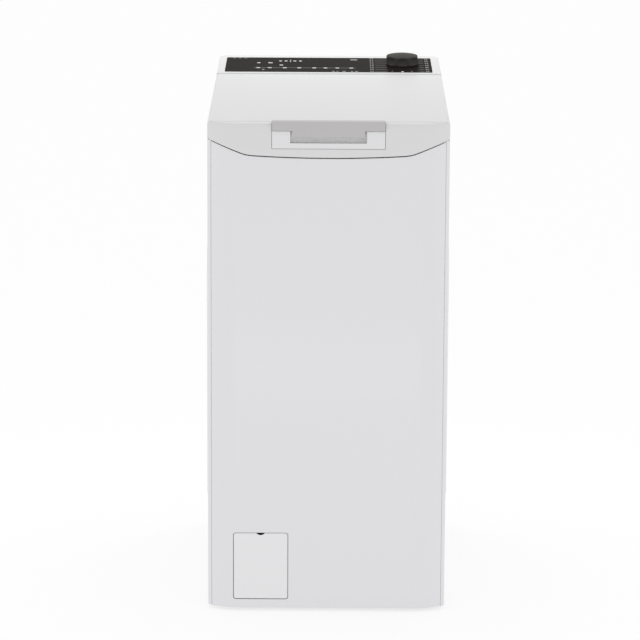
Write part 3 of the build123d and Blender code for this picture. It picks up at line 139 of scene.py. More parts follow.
def vary_tone(group, noise, inputs, outputs):
    """Let a noise, centred on nought, lighten and darken the colour and shift the roughness."""
    links = group.links
    centred = add_node(group, "ShaderNodeMath", operation="SUBTRACT")
    centred.inputs[1].default_value = 0.5
    links.new(noise, centred.inputs[0])
    tone = add_node(group, "ShaderNodeMath", operation="MULTIPLY_ADD")
    links.new(centred.outputs[0], tone.inputs[0])
    links.new(inputs.outputs["Tone Change"], tone.inputs[1])
    tone.inputs[2].default_value = 1.0
    tinted = add_node(group, "ShaderNodeVectorMath", operation="SCALE")
    links.new(inputs.outputs["Colour"], tinted.inputs[0])
    links.new(tone.outputs[0], tinted.inputs["Scale"])
    rough = add_node(group, "ShaderNodeMath", operation="MULTIPLY_ADD", use_clamp=True)
    links.new(centred.outputs[0], rough.inputs[0])
    links.new(inputs.outputs["Roughness Change"], rough.inputs[1])
    links.new(inputs.outputs["Roughness"], rough.inputs[2])
    links.new(tinted.outputs[0], outputs.inputs["Colour"])
    links.new(rough.outputs[0], outputs.inputs["Roughness"])


def build_skin_group():
    """Grain: a fine noise for bump, a slow noise for tone and roughness, both on object coordinates."""
    group = bpy.data.node_groups.new("moulded_skin", "ShaderNodeTree")
    group_sockets(group, [
        ("Colour", "NodeSocketColor", (0.8, 0.8, 0.8, 1.0)), ("Tone Change", "NodeSocketFloat", 0.02),
        ("Roughness", "NodeSocketFloat", 0.4), ("Roughness Change", "NodeSocketFloat", 0.05),
        ("Grain Scale", "NodeSocketFloat", 900.0), ("Cloud Scale", "NodeSocketFloat", 6.0),
    ], [("Colour", "NodeSocketColor"), ("Roughness", "NodeSocketFloat"), ("Height", "NodeSocketFloat")])
    nodes, links = group.nodes, group.links
    inputs, outputs = nodes.new("NodeGroupInput"), nodes.new("NodeGroupOutput")
    place = nodes.new("ShaderNodeTexCoord")
    grain = add_node(group, "ShaderNodeTexNoise", Detail=3.0)
    cloud = add_node(group, "ShaderNodeTexNoise", Detail=2.0)
    links.new(place.outputs["Object"], grain.inputs["Vector"])
    links.new(place.outputs["Object"], cloud.inputs["Vector"])
    links.new(inputs.outputs["Grain Scale"], grain.inputs["Scale"])
    links.new(inputs.outputs["Cloud Scale"], cloud.inputs["Scale"])
    vary_tone(group, cloud.outputs["Fac"], inputs, outputs)
    links.new(grain.outputs["Fac"], outputs.inputs["Height"])
    return group


def build_metal_group():
    """Drawn metal: one noise, stretched along the lines, sets their height, tone and roughness."""
    group = bpy.data.node_groups.new("drawn_metal", "ShaderNodeTree")
    group_sockets(group, [
        ("Colour", "NodeSocketColor", (0.6, 0.6, 0.6, 1.0)), ("Tone Change", "NodeSocketFloat", 0.1),
        ("Roughness", "NodeSocketFloat", 0.3), ("Roughness Change", "NodeSocketFloat", 0.15),
        ("Line Stretch", "NodeSocketVector", (40.0, 900.0, 900.0)),
    ], [("Colour", "NodeSocketColor"), ("Roughness", "NodeSocketFloat"), ("Height", "NodeSocketFloat")])
    nodes, links = group.nodes, group.links
    inputs, outputs = nodes.new("NodeGroupInput"), nodes.new("NodeGroupOutput")
    place = nodes.new("ShaderNodeTexCoord")
    stretched = add_node(group, "ShaderNodeVectorMath", operation="MULTIPLY")
    links.new(place.outputs["Object"], stretched.inputs[0])
    links.new(inputs.outputs["Line Stretch"], stretched.inputs[1])
    lines = add_node(group, "ShaderNodeTexNoise", Scale=1.0, Detail=3.0)
    links.new(stretched.outputs[0], lines.inputs["Vector"])
    vary_tone(group, lines.outputs["Fac"], inputs, outputs)
    links.new(lines.outputs["Fac"], outputs.inputs["Height"])
    return group


SKIN, METAL = build_skin_group(), build_metal_group()
COAT_ROUGHNESS = 0.12


def finish_of(name, group, colour, bump, metallic=0.0, coat=0.0, specular=0.5, **values):
    """A material whose colour, roughness and bump come from a shader group with its own values."""
    material = bpy.data.materials.new(name)
    material.use_nodes = True
    tree = material.node_tree
    shader = tree.nodes["Principled BSDF"]
    skin = tree.nodes.new("ShaderNodeGroup")
    skin.node_tree = group
    skin.inputs["Colour"].default_value = (*colour, 1.0)
    for key, value in values.items():
        skin.inputs[key.replace("_", " ").title()].default_value = value
    tree.links.new(skin.outputs["Colour"], shader.inputs["Base Color"])
    tree.links.new(skin.outputs["Roughness"], shader.inputs["Roughness"])
    ridge = add_node(tree, "ShaderNodeBump", Strength=bump[0], Distance=bump[1])
    tree.links.new(skin.outputs["Height"], ridge.inputs["Height"])
    tree.links.new(ridge.outputs["Normal"], shader.inputs["Normal"])
    shader.inputs["Metallic"].default_value = metallic
    shader.inputs["Coat Weight"].default_value = coat
    shader.inputs["Coat Roughness"].default_value = COAT_ROUGHNESS
    shader.inputs["Specular IOR Level"].default_value = specular
    return material


# Cabinet front and sides: cold-rolled sheet pressed, folded and enamelled bright white.  The front
# panel wraps round two wide shoulders to a vertical seam; the side panels carry a raised field.
enamel = finish_of("white_enamel", SKIN, (0.700, 0.700, 0.715), (0.04, 0.0003), coat=0.15,
                   tone_change=0.012, roughness=0.36, roughness_change=0.06, grain_scale=260.0,
                   cloud_scale=4.0)
panel_low, panel_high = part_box("front_panel")
FRONT_Y = panel_low.y
PANEL_Z = panel_low.z
HALF_W = 0.200
DECK_SLOPE = 52.0 / 600.0
FOLD_Z = 0.828
SHOULDER_R, FLAT_HALF, CORNER_R = 0.084, 0.145, 0.005
SEAM_X = panel_high.x
SKIRT, SKIN_GAP = 0.028, 0.0016
SHEET = 0.001
ARC_HALF, ARC_LOW, ARC_RISE = 0.129, 0.7726, 0.004
BLEND_RUN, BLEND_RISE, END_RUN, END_RISE = 0.011, 0.0021, 0.061, 0.0233


def deck_z(y):
    """Height of the sloping deck plane at y."""
    return FOLD_Z + DECK_SLOPE * (np.asarray(y, float) - FRONT_Y)


def smile_z(x):
    """Height of the lid's curved lower edge: a shallow arc, a short blend, then a straight rise."""
    x = np.abs(np.asarray(x, float))
    radius = (ARC_HALF**2 + ARC_RISE**2) / (2 * ARC_RISE)
    arc = ARC_LOW + radius - np.sqrt(radius**2 - np.minimum(x, ARC_HALF) ** 2)
    blend = ARC_LOW + ARC_RISE + (x - ARC_HALF) * (BLEND_RISE / BLEND_RUN)
    end_x = ARC_HALF + BLEND_RUN
    rise = ARC_LOW + ARC_RISE + BLEND_RISE + (x - end_x) * (END_RISE / END_RUN)
    return np.where(x < ARC_HALF, arc, np.where(x < end_x, blend, rise))


SHOULDER = np.array((FLAT_HALF, FRONT_Y + SHOULDER_R))
CORNER = np.array((HALF_W - CORNER_R, SHOULDER[1]))
CORNER[1] -= math.sqrt((SHOULDER_R - CORNER_R) ** 2 - (CORNER[0] - SHOULDER[0]) ** 2)
MEET = math.atan2(CORNER[1] - SHOULDER[1], CORNER[0] - SHOULDER[0])
SEAM_ANGLE = -math.acos((SEAM_X - FLAT_HALF) / SHOULDER_R)
EDGE_ROLL, SEAM_GAP = 0.0012, 0.0005
SEAM_HALF = (EDGE_ROLL + SEAM_GAP / 2) / SHOULDER_R


def arc_plan(centre, radius, start, end, steps):
    """Plan points and outward normals along an arc."""
    angle = np.linspace(start, end, steps)
    normals = np.column_stack((np.cos(angle), np.sin(angle)))
    return np.hstack((centre + radius * normals, normals))


def straight_plan(start, end, normal, steps):
    """Plan points along a line with one outward normal, without its last point."""
    points = np.linspace(start, end, steps, endpoint=False)
    return np.hstack((points, np.tile(normal, (steps, 1))))


SHARP_ANGLE = 40.0


def shade_smooth(mesh, angle=SHARP_ANGLE):
    """Smooth shading that stays sharp where faces meet at more than the angle (degrees)."""
    mesh.polygons.foreach_set("use_smooth", [True] * len(mesh.polygons))
    mesh.set_sharp_from_angle(angle=math.radians(angle))


def add_piece(name, vertices, faces, body, material, replaces=(), smooth_angle=SHARP_ANGLE):
    """A finished mesh piece: smooth where it curves, riding on its body, with its material slot."""
    mesh = bpy.data.meshes.new(name)
    mesh.from_pydata(np.asarray(vertices).tolist(), [], [tuple(int(i) for i in face) for face in faces])
    mesh.validate()
    shade_smooth(mesh, smooth_angle)
    mesh.materials.append(material)
    piece = bpy.data.objects.new(name, mesh)
    bpy.context.scene.collection.objects.link(piece)
    if body:
        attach(piece, body)
    if replaces:
        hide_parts(*replaces)
    return piece


def grid_faces(rows, columns, closed_rows=False, closed_columns=False, start=0):
    """Quads of a grid numbered row by row, optionally joined back to the first row or column."""
    r = np.arange(rows if closed_rows else rows - 1)
    c = np.arange(columns if closed_columns else columns - 1)
    r, c = np.meshgrid(r, c, indexing="ij")
    r2, c2 = (r + 1) % rows, (c + 1) % columns
    quads = np.stack((r * columns + c, r * columns + c2, r2 * columns + c2, r2 * columns + c), -1)
    return quads.reshape(-1, 4) + start


def add_modifier(piece, kind, **values):
    """A live modifier with its values."""
    modifier = piece.modifiers.new(kind.lower(), kind)
    for name, value in values.items():
        setattr(modifier, name, value)
    return modifier


def cut_with(piece, vertices, faces):
    """Cut a closed shape out of a piece, and keep the result as its plain mesh."""
    tool_mesh = bpy.data.meshes.new("cutter")
    tool_mesh.from_pydata(np.asarray(vertices).tolist(), [], [tuple(int(i) for i in f) for f in faces])
    tool = bpy.data.objects.new("cutter", tool_mesh)
    bpy.context.scene.collection.objects.link(tool)
    cutter = piece.modifiers.new("cut", "BOOLEAN")
    cutter.operation, cutter.solver, cutter.object = "DIFFERENCE", "EXACT", tool
    graph = bpy.context.evaluated_depsgraph_get()
    solid = bpy.data.meshes.new_from_object(piece.evaluated_get(graph))
    piece.modifiers.clear()
    old, name = piece.data, piece.data.name
    piece.data = solid
    bpy.data.meshes.remove(old)
    solid.name = name
    bpy.data.objects.remove(tool)
    bpy.data.meshes.remove(tool_mesh)
    shade_smooth(solid)


def rounded_outline(low, high, radius, steps=6):
    """Rounded rectangle as points in a plane, anticlockwise."""
    low, high = np.asarray(low, float), np.asarray(high, float)
    corners = [((high[0] - radius, high[1] - radius), 0), ((low[0] + radius, high[1] - radius), 90),
               ((low[0] + radius, low[1] + radius), 180), ((high[0] - radius, low[1] + radius), 270)]
    points = []
    for centre, first in corners:
        angle = np.radians(np.linspace(first, first + 90, steps))
        points.append(np.array(centre) + radius * np.column_stack((np.cos(angle), np.sin(angle))))
    return np.vstack(points)


def prism(outline, axis, low, high):
    """Vertices and faces of an outline carried from low to high along an axis (0, 1 or 2)."""
    others = [i for i in range(3) if i != axis]
    count = len(outline)
    vertices = np.zeros((2 * count, 3))
    vertices[:count, others], vertices[count:, others] = outline, outline
    vertices[:count, axis], vertices[count:, axis] = low, high
    faces = [tuple(range(count)), tuple(range(2 * count - 1, count - 1, -1))]
    faces += [(i, count + i, count + (i + 1) % count, (i + 1) % count) for i in range(count)]
    if axis != 1:
        faces = [face[::-1] for face in faces]
    return vertices, faces


def folded_sheet(points, normals, z_low, z_high, heights, parts, roll=0.0012, ledge=0.007, room=0.02):
    """A sheet standing on a plan curve, its upper and lower edges rolled inwards to short ledges.

    Each column runs: ledge, quarter roll, face, quarter roll, ledge.  The face passes the given
    heights and then equal parts of what is left below its top; the ledges narrow near both ends
    of the curve, where the sheet turns in."""
    travel = np.concatenate(((0,), np.cumsum(np.hypot(*np.diff(points, axis=0).T))))
    near_end = np.clip(np.minimum(travel, travel[-1] - travel) / room, 0, 1)
    depth = roll + (ledge - roll) * near_end * near_end * (3 - 2 * near_end)
    quarter = np.linspace(0, math.pi / 2, 5)
    inset, height = [depth], [z_low]
    for angle in quarter:
        inset.append(np.full(len(points), roll * (1 - math.sin(angle))))
        height.append(z_low + roll * (1 - math.cos(angle)))
    for level in heights:
        inset.append(np.zeros(len(points)))
        height.append(np.full(len(points), level))
    for part in parts:
        inset.append(np.zeros(len(points)))
        height.append(heights[-1] + part * (z_high - roll - heights[-1]))
    for angle in quarter[::-1]:
        inset.append(np.full(len(points), roll * (1 - math.sin(angle))))
        height.append(z_high - roll * (1 - math.cos(angle)))
    inset.append(depth)
    height.append(z_high)
    inset, height = np.array(inset), np.array(height)
    plan = points[None] - normals[None] * inset[..., None]
    return np.dstack((plan, height))


def turn_in(points, normals, radius, length, steps=6):
    """Continue a plan curve with a tight turn inwards and a straight return along -normal."""
    start, out = points[-1], normals[-1]
    along = np.array((-out[1], out[0]))
    angles = np.linspace(0, math.pi / 2, steps)[1:]
    centre = start - radius * out
    turn_points = centre + radius * (np.outer(np.cos(angles), out) + np.outer(np.sin(angles), along))
    turn_normals = np.outer(np.cos(angles), out) + np.outer(np.sin(angles), along)
    end = turn_points[-1] - length * out
    return np.vstack((points, turn_points, end)), np.vstack((normals, turn_normals, turn_normals[-1]))


front_flat = straight_plan((0, FRONT_Y), (FLAT_HALF, FRONT_Y), (0, -1), 24)
front_arc = arc_plan(SHOULDER, SHOULDER_R, -math.pi / 2, SEAM_ANGLE - SEAM_HALF, 28)
front_half = np.vstack((front_flat, front_arc))
SEAM_RETURN, LOW_CORNER = 0.008, 0.008
front_half, front_half_normals = turn_in(front_half[:, :2], front_half[:, 2:], EDGE_ROLL, SEAM_RETURN)
front_points = np.vstack((front_half[:0:-1] * (-1, 1), front_half))
front_normals = np.vstack((front_half_normals[:0:-1] * (-1, 1), front_half_normals))
front_top = smile_z(front_points[:, 0]) - SKIN_GAP
front_travel = np.concatenate(((0,), np.cumsum(np.hypot(*np.diff(front_points, axis=0).T))))
to_end = np.clip(LOW_CORNER - np.minimum(front_travel, front_travel[-1] - front_travel), 0, LOW_CORNER)
front_low = PANEL_Z + LOW_CORNER - np.sqrt(LOW_CORNER**2 - to_end**2)
front_grid = folded_sheet(front_points, front_normals, front_low, front_top, np.linspace(0.03, 0.74, 12),
                          (0.5,))
front_panel = add_piece("front_panel_skin", front_grid.reshape(-1, 3),
                        grid_faces(*front_grid.shape[:2]), "cabinet", enamel,
                        replaces=["front_panel"])
add_modifier(front_panel, "SOLIDIFY", thickness=SHEET, offset=-1.0)
FLAP_GAP, FLAP_CORNER, CUT_OUTSIDE, CUT_INSIDE = 0.0007, 0.0045, 0.01, 0.006
flap_low, flap_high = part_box("filter_flap")
hole = rounded_outline((flap_low.x - FLAP_GAP, flap_low.z - FLAP_GAP),
                       (flap_high.x + FLAP_GAP, flap_high.z + FLAP_GAP), FLAP_CORNER)
cut_with(front_panel, *prism(hole, 1, FRONT_Y - CUT_OUTSIDE, FRONT_Y + CUT_INSIDE))


def turn_back(points, normals, radius, length):
    """The same inward turn at the start of a plan curve."""
    turned, facing = turn_in(points[::-1] * (1, -1), normals[::-1] * (1, -1), radius, length)
    return turned[::-1] * (1, -1), facing[::-1] * (1, -1)


def smooth(value):
    """Smooth step from 0 to 1."""
    value = np.clip(value, 0, 1)
    return value * value * (3 - 2 * value)


# Side panels: the same enamelled sheet, from the seam round the tight corner to the back edge, with
# a pressed field that stands 3.4 mm proud, sharp at its lower end and fading out at its upper end.
FIELD_Y, FIELD_Z, FIELD_RISE = (-0.238, 0.252), (0.180, 0.690), 0.0034
FIELD_EDGE, FIELD_FOOT, FIELD_FADE = 0.016, 0.008, 0.110
SIDE_BACK, BACK_RETURN = 0.289, 0.005
# The columns and rows stand closer together where the field's edges bend.
side_y = np.concatenate((np.linspace(-0.2745, -0.240, 5),
                         np.linspace(FIELD_Y[0], FIELD_Y[0] + FIELD_EDGE, 9),
                         np.linspace(-0.20, 0.22, 14),
                         np.linspace(FIELD_Y[1] - FIELD_EDGE, FIELD_Y[1], 9),
                         np.linspace(0.260, SIDE_BACK - EDGE_ROLL, 4)))
side_flat = np.column_stack((np.full(len(side_y), HALF_W), side_y, np.ones(len(side_y)),
                             np.zeros(len(side_y))))
side_plan = np.vstack((arc_plan(SHOULDER, SHOULDER_R, SEAM_ANGLE + SEAM_HALF, MEET, 5)[:-1],
                       arc_plan(CORNER, CORNER_R, MEET, 0, 9), side_flat))
side_points, side_normals = side_plan[:, :2], side_plan[:, 2:]
side_points, side_normals = turn_in(side_points, side_normals, EDGE_ROLL, SEAM_RETURN)
side_points, side_normals = turn_back(side_points, side_normals, EDGE_ROLL, BACK_RETURN)
side_top = deck_z(np.minimum(side_points[:, 1], SIDE_BACK)) - SKIRT - SKIN_GAP
side_heights = np.concatenate((np.linspace(0.03, 0.170, 5), np.linspace(0.178, 0.190, 7),
                               np.linspace(0.22, 0.56, 10), np.linspace(0.58, 0.70, 13)))
side_grid = folded_sheet(side_points, side_normals, np.full(len(side_points), PANEL_Z), side_top,
                         side_heights, (0.25, 0.5, 0.75))
y, z = side_grid[..., 1], side_grid[..., 2]
field = smooth((y - FIELD_Y[0]) / FIELD_EDGE) * smooth((FIELD_Y[1] - y) / FIELD_EDGE)
field *= smooth((z - FIELD_Z[0]) / FIELD_FOOT) * smooth((FIELD_Z[1] - z) / FIELD_FADE)
side_grid[..., 0] += FIELD_RISE * field
for side, name in ((1, "side_panel_right"), (-1, "side_panel_left")):
    faces = grid_faces(*side_grid.shape[:2])
    panel = add_piece(name + "_skin", side_grid.reshape(-1, 3) * (side, 1, 1),
                      faces if side > 0 else faces[:, ::-1], "cabinet", enamel,
                      replaces=[name])
    add_modifier(panel, "SOLIDIFY", thickness=SHEET, offset=-1.0)


def dress(finish, *names):
    """Give CAD nodes their finish."""
    for name in names:
        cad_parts[name].material_slots[0].material = finish


# Back, base and screws: a pre-coated back sheet and a galvanised base tray, held with plated
# self-tapping screws, so the back is duller and the base shows drawn zinc.
rear_enamel = finish_of("rear_enamel", SKIN, (0.66, 0.66, 0.67), (0.06, 0.0003), tone_change=0.03,
                        roughness=0.48, roughness_change=0.08, grain_scale=300.0, cloud_scale=7.0)
zinc = finish_of("galvanised_sheet", METAL, (0.58, 0.60, 0.61), (0.10, 0.0002), metallic=0.9,
                 tone_change=0.35, roughness=0.42, roughness_change=0.30, line_stretch=(60, 90, 60))
plated = finish_of("zinc_fastener", METAL, (0.66, 0.66, 0.64), (0.12, 0.0001), metallic=1.0,
                   tone_change=0.20, roughness=0.30, roughness_change=0.20, line_stretch=(900, 900, 900))
dress(rear_enamel, "rear_panel")
dress(zinc, "base_tray")
dress(plated, "cabinet_screws", "handle_pin", "lid_hinge_pins")

# Lid shell: one white moulding with a soft front fold, tighter folds at the sides, a curved lower
# edge that follows the front panel, and a rear edge that rolls down round the hinge line.
LID_THICK, FRONT_FOLD, SIDE_FOLD, FLAT_RING, APRON_END = 0.0024, 0.009, 0.0045, 0.0015, -0.281
pin_low, pin_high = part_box("lid_hinge_pins")
HINGE_Y, HINGE_Z, HINGE_DROP = (pin_low.y + pin_high.y) / 2, (pin_low.z + pin_high.z) / 2, 0.008
lid_plastic = finish_of("white_plastic", SKIN, (0.660, 0.660, 0.665), (0.05, 0.0002), specular=0.3,
                        tone_change=0.012, roughness=0.34, roughness_change=0.06, grain_scale=1400.0,
                        cloud_scale=5.0)
lid_half = np.vstack((front_flat, arc_plan(SHOULDER, SHOULDER_R, -math.pi / 2, MEET, 30)[:-1],
                      arc_plan(CORNER, CORNER_R, MEET, 0, 9)[:-1],
                      straight_plan((HALF_W, CORNER[1]), (HALF_W, HINGE_Y), (1, 0), 16),
                      ((HALF_W, HINGE_Y, 1, 0),)))
lid_plan_line = np.vstack((lid_half[:0:-1] * (-1, 1, -1, 1), lid_half))
lid_points, lid_normals = lid_plan_line[:, :2], lid_plan_line[:, 2:]
fold = SIDE_FOLD + (FRONT_FOLD - SIDE_FOLD) * smooth((-lid_normals[:, 1] - 0.80) / 0.18)
lower = np.where(lid_points[:, 1] < APRON_END, smile_z(lid_points[:, 0]), deck_z(lid_points[:, 1]) - SKIRT)
upper = deck_z(lid_points[:, 1]) - fold
LIP_R, LIP_DEPTH, FOLD_STEPS = 0.0012, 0.0045, 9
inset, height = [np.full(len(lid_points), LIP_DEPTH)], [lower]
for step in np.linspace(0, math.pi / 2, 5):
    inset.append(np.full(len(lid_points), LIP_R * (1 - math.sin(step))))
    height.append(lower + LIP_R * (1 - math.cos(step)))
for part in (0.33, 0.66):
    inset.append(np.zeros(len(lid_points)))
    height.append(lower + LIP_R + part * (upper - lower - LIP_R))
for step in np.linspace(0, math.pi / 2, FOLD_STEPS):
    inset.append(fold * (1 - math.cos(step)))
    height.append(np.full(len(lid_points), step))
inset.append(fold + FLAT_RING)
height.append(np.full(len(lid_points), math.pi / 2))
inset, height = np.array(inset), np.array(height)
lid_plan = lid_points[None] - lid_normals[None] * inset[..., None]
above = deck_z(lid_plan[..., 1]) - fold * (1 - np.sin(np.clip(height, 0, math.pi / 2)))
height[-FOLD_STEPS - 1:] = above[-FOLD_STEPS - 1:]
lid_grid = np.dstack((lid_plan, height))
rows, columns = lid_grid.shape[:2]
lid_vertices = lid_grid.reshape(-1, 3)
lid_faces = grid_faces(rows, columns).tolist()
last = (rows - 1) * columns
lid_faces.append(tuple(range(last, last + columns)))
ROLL_START, ROLL_END = 89, 35
roll = np.radians(np.linspace(ROLL_START, ROLL_END, 9))
lip = np.zeros((len(roll), 2, 3))
lip[..., 0] = (lid_vertices[last, 0], lid_vertices[last + columns - 1, 0])
lip[..., 1] = (HINGE_Y + HINGE_DROP * np.cos(roll))[:, None]
lip[..., 2] = (HINGE_Z + HINGE_DROP * np.sin(roll))[:, None]
first = len(lid_vertices)
lid_vertices = np.vstack((lid_vertices, lip.reshape(-1, 3)))
lid_faces.append((last, last + columns - 1, first + 1, first))
lid_faces += grid_faces(len(roll), 2, start=first).tolist()
lid_skin = add_piece("lid_skin", lid_vertices, lid_faces, "lid", lid_plastic,
                     replaces=["lid_shell"], smooth_angle=50)
add_modifier(lid_skin, "SOLIDIFY", thickness=LID_THICK, offset=-1.0)
NOTCH_GAP, NOTCH_CORNER, NOTCH_TOP, NOTCH_Y = 0.0006, 0.0012, 0.86, (-0.31, -0.282)
bezel_low, bezel_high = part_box("handle_bezel")
notch = rounded_outline((bezel_low.x - NOTCH_GAP, bezel_low.z - NOTCH_GAP),
                        (bezel_high.x + NOTCH_GAP, NOTCH_TOP), NOTCH_CORNER)
cut_with(lid_skin, *prism(notch, 1, *NOTCH_Y))


def lathe(name, profile, centre, axis, body, material, replaces=(), steps=32, closed=True):
    """Turned shape: a profile of (distance along the axis, radius) carried round the axis."""
    profile = np.asarray(profile, float)
    angle = np.linspace(0, 2 * math.pi, steps, endpoint=False)
    others = [(axis + 1) % 3, (axis + 2) % 3]
    points = np.zeros((len(profile), steps, 3))
    points[..., axis] = profile[:, :1]
    points[..., others[0]] = profile[:, 1:] * np.cos(angle)
    points[..., others[1]] = profile[:, 1:] * np.sin(angle)
    faces = grid_faces(len(profile), steps, closed_rows=closed, closed_columns=True)
    return add_piece(name, points.reshape(-1, 3) + np.asarray(centre), faces[:, ::-1], body,
                     material, replaces)


def join_pieces(name, pieces):
    """Several like pieces on one body as one object."""
    kept = pieces[0]
    shape = bmesh.new()
    for piece in pieces:
        shape.from_mesh(piece.data)
    shape.to_mesh(kept.data)
    shape.free()
    kept.name = kept.data.name = name
    for piece in pieces[1:]:
        bpy.data.objects.remove(piece)
    return kept


# Lid hinge knuckles: moulded rings on the lid, each side of the cabinet's ears, round the pins.
KNUCKLE_BORE, KNUCKLE_R, KNUCKLE_EASE, KNUCKLE_LENGTH = 0.0026, 0.0056, 0.0004, 0.011
knuckles = []
for side in (-1, 1):
    for start in (0.147, 0.1735):
        end = start + KNUCKLE_LENGTH
        ring = [(start, KNUCKLE_BORE), (start, KNUCKLE_R - KNUCKLE_EASE), (start + KNUCKLE_EASE, KNUCKLE_R),
                (end - KNUCKLE_EASE, KNUCKLE_R), (end, KNUCKLE_R - KNUCKLE_EASE), (end, KNUCKLE_BORE)]
        ring = ring if side > 0 else [(-along, radius) for along, radius in ring[::-1]]
        knuckles.append(lathe("knuckle", ring, (0, HINGE_Y, HINGE_Z), 0, "lid",
                              lid_plastic))
join_pieces("lid_hinge_knuckles", knuckles)


EASED_ANGLE, FLAT_ANGLE = 35.0, 1.0


def eased_copy(node, name, body, material, bevel):
    """A CAD node's shape with its loose triangles merged and its sharp edges rounded."""
    shape = bmesh.new()
    shape.from_mesh(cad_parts[node].data)
    bmesh.ops.remove_doubles(shape, verts=shape.verts, dist=2e-6)
    bmesh.ops.dissolve_limit(shape, angle_limit=math.radians(FLAT_ANGLE), verts=shape.verts,
                             edges=shape.edges)
    mesh = bpy.data.meshes.new(name)
    shape.to_mesh(mesh)
    shape.free()
    if "custom_normal" in mesh.attributes:
        mesh.attributes.remove(mesh.attributes["custom_normal"])
    mesh.materials.clear()
    mesh.materials.append(material)
    shade_smooth(mesh, EASED_ANGLE)
    piece = bpy.data.objects.new(name, mesh)
    bpy.context.scene.collection.objects.link(piece)
    add_modifier(piece, "BEVEL", width=bevel, segments=3, limit_method="ANGLE",
                 angle_limit=math.radians(EASED_ANGLE), use_clamp_overlap=True)
    add_modifier(piece, "WEIGHTED_NORMAL", keep_sharp=False, weight=50)
    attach(piece, body)
    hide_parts(node)
    return piece


# Lever handle and its recess: a silver-painted moulding with a wide finger tongue, and a white bezel whose
# finger slot behind the tongue is painted a brighter white inside, painted light that lifts the slot out of
# its shade.
silver = finish_of("silver_handle", SKIN, (0.485, 0.475, 0.480), (0.05, 0.0002), specular=0.12,
                   tone_change=0.03, roughness=0.38, roughness_change=0.08, grain_scale=2600.0,
                   cloud_scale=12.0)
# Painted light: a brighter copy of the bezel white for the shaded finger slot.
slot_painted_light = finish_of("slot_painted_light", SKIN, (0.93, 0.93, 0.93), (0.05, 0.0002), tone_change=0.01,
                        roughness=0.45, grain_scale=1600.0, cloud_scale=9.0)
bezel_plastic = finish_of("bezel_plastic", SKIN, (0.700, 0.700, 0.710), (0.05, 0.0002),
                          tone_change=0.02, roughness=0.40, grain_scale=1600.0, cloud_scale=9.0)
eased_copy("lid_handle", "lever_handle", "lid_handle", silver, 0.0006)
recess = eased_copy("handle_bezel", "handle_recess", "lid", bezel_plastic, 0.0003)
recess.data.materials.append(slot_painted_light)
# Faces inside the finger slot take the brighter white, painted light against the shade in the slot.
SLOT_FRONT, SLOT_HALF = -0.2993, 0.066
for face in recess.data.polygons:
    face.material_index = int(face.center.y > SLOT_FRONT and abs(face.center.x) < SLOT_HALF)

# Console housing: the lid's plastic behind the lid; fascia: a deep black panel with a faint warm
# tone, screen-printed with plain ticks, dashes and dots that stand a hair above it.
fascia_black = finish_of("fascia_black", SKIN, (0.015, 0.0125, 0.0112), (0.02, 0.0001), specular=0.003,
                         tone_change=0.05, roughness=0.34, roughness_change=0.05, grain_scale=900.0,
                         cloud_scale=8.0)
print_grey = finish_of("print_grey", SKIN, (0.26, 0.255, 0.25), (0.02, 0.0001), roughness=0.5)
print_white = finish_of("print_white", SKIN, (0.62, 0.61, 0.60), (0.02, 0.0001), roughness=0.5)
dress(lid_plastic, "console_housing")
dress(fascia_black, "control_fascia")
PRINT_BASE, PRINT_TOP = 0.0002, 0.00028
DECK_NORMAL = np.array((0.0, -DECK_SLOPE, 1.0)) / math.hypot(1.0, DECK_SLOPE)


def print_bars(name, bars, material):
    """Printed bars on the fascia: each (x, y, width, depth) in millimetres, as a low slab."""
    bars = np.asarray(bars, float) * 0.001
    corner = np.array(((-1, -1), (1, -1), (1, 1), (-1, 1))) * 0.5
    plan = bars[:, None, :2] + bars[:, None, 2:] * corner
    foot = np.dstack((plan, deck_z(plan[..., 1])))
    slabs = np.concatenate((foot + DECK_NORMAL * PRINT_BASE, foot + DECK_NORMAL * PRINT_TOP), 1)
    cube = np.array(((0, 3, 2, 1), (4, 5, 6, 7), (0, 1, 5, 4), (1, 2, 6, 5), (2, 3, 7, 6), (3, 0, 4, 7)))
    faces = (cube[None] + 8 * np.arange(len(bars))[:, None, None]).reshape(-1, 4)
    return add_piece(name, slabs.reshape(-1, 3), faces, "cabinet", material)


# The marks are laid out in millimetres: a line of touch dots, status marks at the left, a display
# of dashes above the line, and two ladders of programme ticks beside the knob.
touch_x = (-127.0, -106.5, -79.5, -53.5, -26.5, -6.5, 15.0, 40.0)
ladder = np.linspace(150.0, 268.0, 7)
dim = [(-43.5, 180.0, 183.0, 1.6), (-117.5, 163.0, 4.0, 7.0), (45.0, 258.0, 12.0, 9.0)]
dim += [(x, 271.0, 5.0, 4.0) for x in (-172.0, -162.0, -152.0)]
dim += [(x, y, 2.2, 8.0) for x in (75.0, 79.0, 174.5, 178.0) for y in ladder]
dim += [(x, y, width, 1.2) for x, width in ((94.0, 22.0), (166.5, 8.0)) for y in ladder]
dim += [(113.0, 153.0, 2.0, 5.0), (148.0, 153.0, 2.0, 5.0)]
dim += [(x, 149.0, width, 6.0)
        for x, width in ((8.0, 5.0), (15.0, 3.0), (27.0, 6.0), (41.0, 4.0), (49.0, 5.0))]
bright = [(x, 180.0, 6.5, 8.0) for x in touch_x]
bright += [(-127.0, 226.0, 5.5, 7.0), (-106.0, 226.0, 7.5, 7.0), (-86.0, 205.0, 6.5, 7.0)]
bright += [(x, 244.0, 5.0, 7.0) for x in (-88.0, -78.0, -62.0, -52.0)]
bright += [(-70.0, 238.0, 2.0, 6.0), (-70.0, 251.0, 2.0, 6.0), (131.5, 148.0, 4.0, 8.0)]
print_bars("fascia_print_dim", dim, print_grey)
print_bars("fascia_print_bright", bright, print_white)

